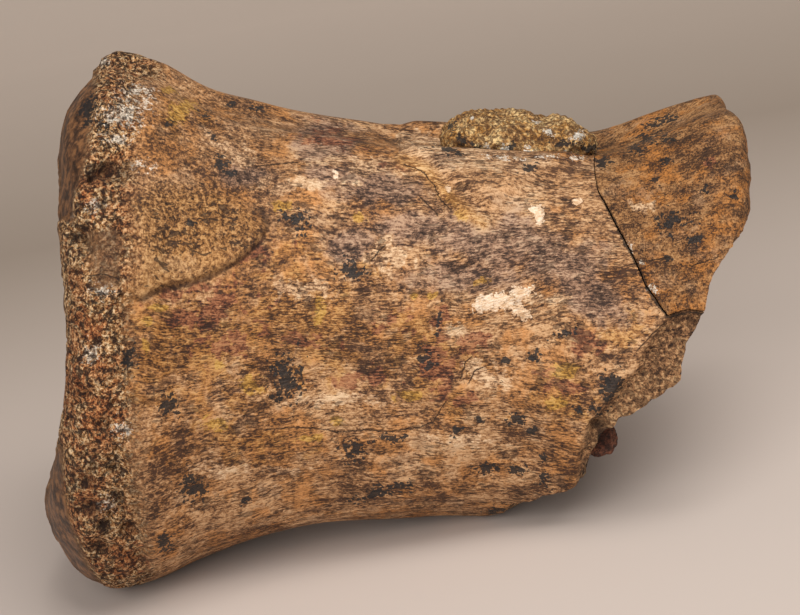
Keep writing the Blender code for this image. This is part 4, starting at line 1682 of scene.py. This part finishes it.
@dataclass(frozen=True)
class BonePiece:
    """One piece of the bone: a dense grid, carved, cut to its outline, dressed and placed.

    The columns stand closer together about the focus: their angle is the even one less the crowding times
    its sine.
    """

    tools: BreakTools
    node: str = ""
    slot: str = ""
    columns: int = 392
    focus: float = math.radians(18)
    crowding: float = 0.42
    lip_rows: int = 13
    face_rows: int = 17
    half_gap: float = 0.3
    pole_share: float = 0.12

    def along(self) -> Array:
        """Places of the rings along the side, from 0 to 1."""
        return np.linspace(0, 1, 214)

    def steps(self) -> list[Cut]:
        """The cuts that give the piece its outline."""
        raise NotImplementedError

    def carve(self) -> bpy.types.Mesh:
        """The grid with its fine relief along the normals, cut to the piece's outline."""
        even = np.linspace(0, 2 * np.pi, self.columns, endpoint=False)
        angles = even - self.crowding * np.sin(even) + self.focus
        rings, share = FORM.grid(angles, self.along(), self.lip_rows, self.face_rows)
        normals = ring_normals(rings)
        relief = Skin(rings, normals).fine_relief() * ramp(share / self.pole_share)
        carved = ring_mesh(self.node, rings + normals * relief[..., None])
        return largest_part(combined(self.node, carved, self.steps()))

    def build(self, finish: bpy.types.Material) -> None:
        """Makes the piece, dresses it with what its finish reads, and puts it in the scene.

        Args:
            finish: Its material.
        """
        mesh = self.carve()
        mesh.update()
        for name, values in Skin(mesh_points(mesh), vectors(mesh.vertex_normals, "vector")).kept().items():
            store(mesh, name, values)
        put_in_scene(mesh, self.node, finish)


@dataclass(frozen=True)
class Centrum(BonePiece):
    """The main piece of bone."""

    node: str = "centrum"
    slot: str = "fossil_bone"

    def steps(self) -> list[Cut]:
        """Takes away the lost corner and the fragment's zone."""
        return [("DIFFERENCE", self.tools.lost_corner()),
                ("DIFFERENCE", self.tools.fragment_zone(-self.half_gap))]


@dataclass(frozen=True)
class EndFragment(BonePiece):
    """The glued corner of the broken end."""

    node: str = "end_fragment"
    slot: str = "fragment_bone"
    lip_rows: int = 14
    face_rows: int = 34
    start: float = 0.74

    def along(self) -> Array:
        """Rings wide apart up to the fragment and close together along it."""
        coarse = np.linspace(0, self.start, 12, endpoint=False)
        return np.concatenate([coarse, np.linspace(self.start, 1, 92)])

    def steps(self) -> list[Cut]:
        """Keeps what is in the fragment's zone, less the lost corner."""
        return [("INTERSECT", self.tools.fragment_zone(self.half_gap)),
                ("DIFFERENCE", self.tools.lost_corner())]


@dataclass(frozen=True)
class Lump:
    """A lump of matrix: a rounded box with a lumpy, grainy surface, in millimetres."""

    node: str
    slot: str
    centre: Triple
    half_size: Triple
    squareness: float
    broad: float
    grainy: float
    detail: tuple[int, int] = (170, 300)
    humps: tuple[Pair, ...] = ()
    crystals: tuple[Spot, ...] = ()
    dark_grains: tuple[Spot, ...] = ()

    def rings(self) -> Array:
        """Rings of the lump: cos and sin of two angles to a power, scaled, plus noise along them."""
        rows, columns = self.detail
        polar = np.linspace(0, np.pi, rows + 2)[1:-1, None]
        angle = np.linspace(0, 2 * np.pi, columns, endpoint=False)[None, :]
        ahead, out, across, upward = (np.sign(turn) * np.abs(turn) ** (2 / self.squareness) for turn in (
            np.cos(polar), np.sin(polar), np.cos(angle), np.sin(angle)))
        unit = np.stack([-ahead + 0 * angle, -out * across, out * upward], axis=-1)
        if self.humps:
            unit[..., 2] *= knotted(unit[..., 0], self.humps)
        points = np.array(self.centre) + unit * np.array(self.half_size)
        swell = self.broad * (lumps(points, 4.5, 71) + 0.5 * lumps(points, 2.2, 72))
        points = points + unit * swell[..., None]
        grains = 0.6 - nearest_seed(points, 0.95, 75)
        sandy = 0.5 * layered(points, 1.3, 77) + grains * 0.6 - 0.35
        return points + unit * (self.grainy * sandy)[..., None]

    def build(self, finish: bpy.types.Material, steps: list[Cut]) -> None:
        """Makes the lump, dresses it and puts it in the scene.

        Args:
            finish: Its material.
            steps: The cuts that fit it to what it sits on.
        """
        mesh = largest_part(combined(self.node, ring_mesh(self.node, self.rings()), steps))
        points = mesh_points(mesh)
        store(mesh, "bone_place", points)
        store(mesh, "crystal", nearest_spot(self.crystals, VIEW.spots(points)))
        store(mesh, "black", nearest_spot(self.dark_grains, VIEW.spots(points)))
        put_in_scene(mesh, self.node, finish)


def put_in_scene(mesh: bpy.types.Mesh, node: str, finish: bpy.types.Material) -> None:
    """Places a mesh of the bone's own frame at rest, as the piece that stands for a node.

    Args:
        mesh: The mesh, which is changed.
        node: Name of the node.
        finish: Its material.
    """
    mesh.vertices.foreach_set("co", REST.place(mesh_points(mesh)).astype(np.float32).ravel())
    mesh.materials.clear()
    mesh.materials.append(finish)
    mesh.polygons.foreach_set("material_index", np.zeros(len(mesh.polygons), np.int32))
    mesh.shade_smooth()
    mesh.set_sharp_from_angle(angle=SHARP_ANGLE)
    mesh.update()
    thing = linked(f"{node}_skin", mesh)
    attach(thing, "root")
    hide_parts(node)
    LOG.info("%s: %d points, %d faces", thing.name, len(mesh.vertices), len(mesh.polygons))


@dataclass(frozen=True)
class Lamp:
    """A soft square lamp that points at the bone, in metres and watts."""

    name: str
    place: Triple
    size: float
    watts: float
    colour: Triple
    aim: Triple = (0.0, 0.0, 0.03)

    def build(self) -> None:
        """Puts the lamp in the scene."""
        data = bpy.data.lights.new(self.name, "AREA")
        data.shape, data.size, data.energy, data.color = "SQUARE", self.size, self.watts, self.colour
        thing = linked(self.name, data)
        thing.location = self.place
        way = np.array(self.aim) - np.array(self.place)
        thing.rotation_euler = (math.acos(-way[2] / np.linalg.norm(way)), 0.0, math.atan2(-way[0], way[1]))


@dataclass(frozen=True)
class Studio:
    """Floor, lights and camera, in metres."""

    half_width: float = 5.0
    front: float = -5.0
    bend: float = 0.55
    bend_radius: float = 0.5
    height: float = 1.9
    lamps: tuple[Lamp, ...] = (
        Lamp("key", (0.26, -0.28, 0.68), 0.50, 4.8, (1.0, 0.955, 0.89)),
        Lamp("fill", (-0.24, -0.80, 0.36), 0.75, 6.7, (1.0, 0.96, 0.91)))
    surround: tuple[float, float, float, float] = (0.92, 0.87, 0.82, 1.0)
    surround_strength: float = 0.30
    sensor_mm: float = 36.0
    picture_width: float = 800.0

    def floor(self) -> None:
        """A wide pale floor that curves up far behind: a profile of flat, quarter circle and wall, extruded."""
        turn = np.linspace(0, np.pi / 2, 24)[1:]
        curve = np.array((self.bend, 0)) + self.bend_radius * np.stack([np.sin(turn), 1 - np.cos(turn)], -1)
        profile = np.vstack([[[self.front, 0.0], [self.bend, 0.0]], curve,
                             [[self.bend + self.bend_radius, self.height]]])
        sides = np.linspace(-self.half_width, self.half_width, 9)
        points = np.zeros((len(profile), len(sides), 3))
        points[..., 0], points[..., 1], points[..., 2] = sides, profile[:, :1], profile[:, 1:]
        n = len(sides)
        first = (np.arange(len(profile) - 1)[:, None] * n + np.arange(n - 1)).reshape(-1, 1)
        mesh = fill_mesh("floor", points.reshape(-1, 3), first + (0, 1, n + 1, n), np.zeros((0, 3), int))
        mesh.materials.append(PaintedShadeFloor().build())
        linked("floor", mesh)

    def lights(self) -> None:
        """A large key above and in front on the right, a weak fill on the left, and a soft surround."""
        for lamp in self.lamps:
            lamp.build()
        world = bpy.data.worlds.new("surround")
        world.use_nodes = True
        colour, strength = world.node_tree.nodes["Background"].inputs[:2]
        colour.default_value, strength.default_value = self.surround, self.surround_strength
        bpy.context.scene.world = world

    def camera(self) -> None:
        """The side view as a camera, turned with the bone into its resting pose."""
        data = bpy.data.cameras.new("camera")
        data.sensor_width = self.sensor_mm
        data.lens = self.sensor_mm * VIEW.pixels_per_mm * VIEW.distance / self.picture_width
        data.clip_start, data.clip_end = 0.01, 10.0
        matrix = np.eye(4)
        matrix[:3, :3] = REST.turn() @ np.stack([(1.0, 0.0, 0.0), VIEW.upward(), -VIEW.ahead()], axis=-1)
        matrix[:3, 3] = (REST.turn() @ VIEW.eye() + np.array(REST.shift)) * MM
        thing = linked("camera", data)
        thing.matrix_world = Matrix(matrix.tolist())
        bpy.context.scene.camera = thing


def bed(sunk: float = 0.05) -> list[Cut]:
    """The cut that fits a lump to the bone's top: the whole bone, coarser and a little swollen."""
    rings, _ = FORM.grid(np.linspace(0, 2 * np.pi, 200, endpoint=False), np.linspace(0, 1, 90), 6, 6)
    return [("DIFFERENCE", ring_mesh("under", rings + ring_normals(rings) * sunk))]


def main() -> None:
    """Builds the stage, then each piece in turn."""
    bpy.context.scene.view_settings.view_transform = "Standard"
    studio, shared, tools = Studio(), SharedEffects(), BreakTools()
    studio.camera()
    studio.floor()
    studio.lights()
    Centrum(tools).build(BoneFinish("fossil_bone").build(shared))
    # The fragment's finish is a darker copy of the bone's. This is partly its own darker, more saturated colour
    # and partly painted shade that offsets the key lamp on its side.
    fragment = BoneFinish("fragment_bone", groove=(62, 38, 20), body=(112, 75, 42), light=(140, 98, 58),
                          crest=(172, 130, 86), warm=(154, 98, 42), warm_share=0.85, thread_size=0.9,
                          shortness=2.6)
    EndFragment(tools).build(fragment.build(shared))
    crust = Lump("matrix_crust", "matrix_rock", (16.5, 0.0, 24.2), (10.9, 8.6, 4.4), 2.5, 0.7, 0.9,
                 humps=((-1.0, 1.1), (-0.68, 1.12), (-0.3, 1.03), (0.1, 1.0), (0.31, 0.78), (0.6, 0.93),
                        (0.9, 0.66), (1.0, 0.6)),
                 crystals=placed((505, 150, 18, 15), (529, 152, 16, 13), (577, 137, 20, 12, -30),
                                 (548, 132, 18, 9, 30), (515, 156, 60, 9), (487, 149, 12, 9),
                                 (560, 152, 20, 6), (536, 122, 10, 5), (472, 118, 8, 5)),
                 dark_grains=placed((592, 148, 34, 14), (565, 144, 26, 9), (513, 147, 9, 10),
                                    (462, 140, 30, 10, 35), (484, 151, 20, 6, 20), (452, 126, 12, 12)))
    rock = RockFinish("matrix_rock", (84, 52, 24), (172, 127, 74), (232, 198, 140), (178, 122, 44))
    crust.build(rock.build(shared), bed())
    nodule = Lump("matrix_nodule", "nodule_rock", (27.3, -14.0, -14.9), (3.1, 3.4, 2.6), 2.0, 0.35, 0.5,
                  detail=(60, 100))
    red_rock = RockFinish("nodule_rock", (52, 28, 20), (104, 58, 40), (146, 92, 66), (92, 46, 30))
    nodule.build(red_rock.build(shared), [])


if __name__ == "__main__":
    main()
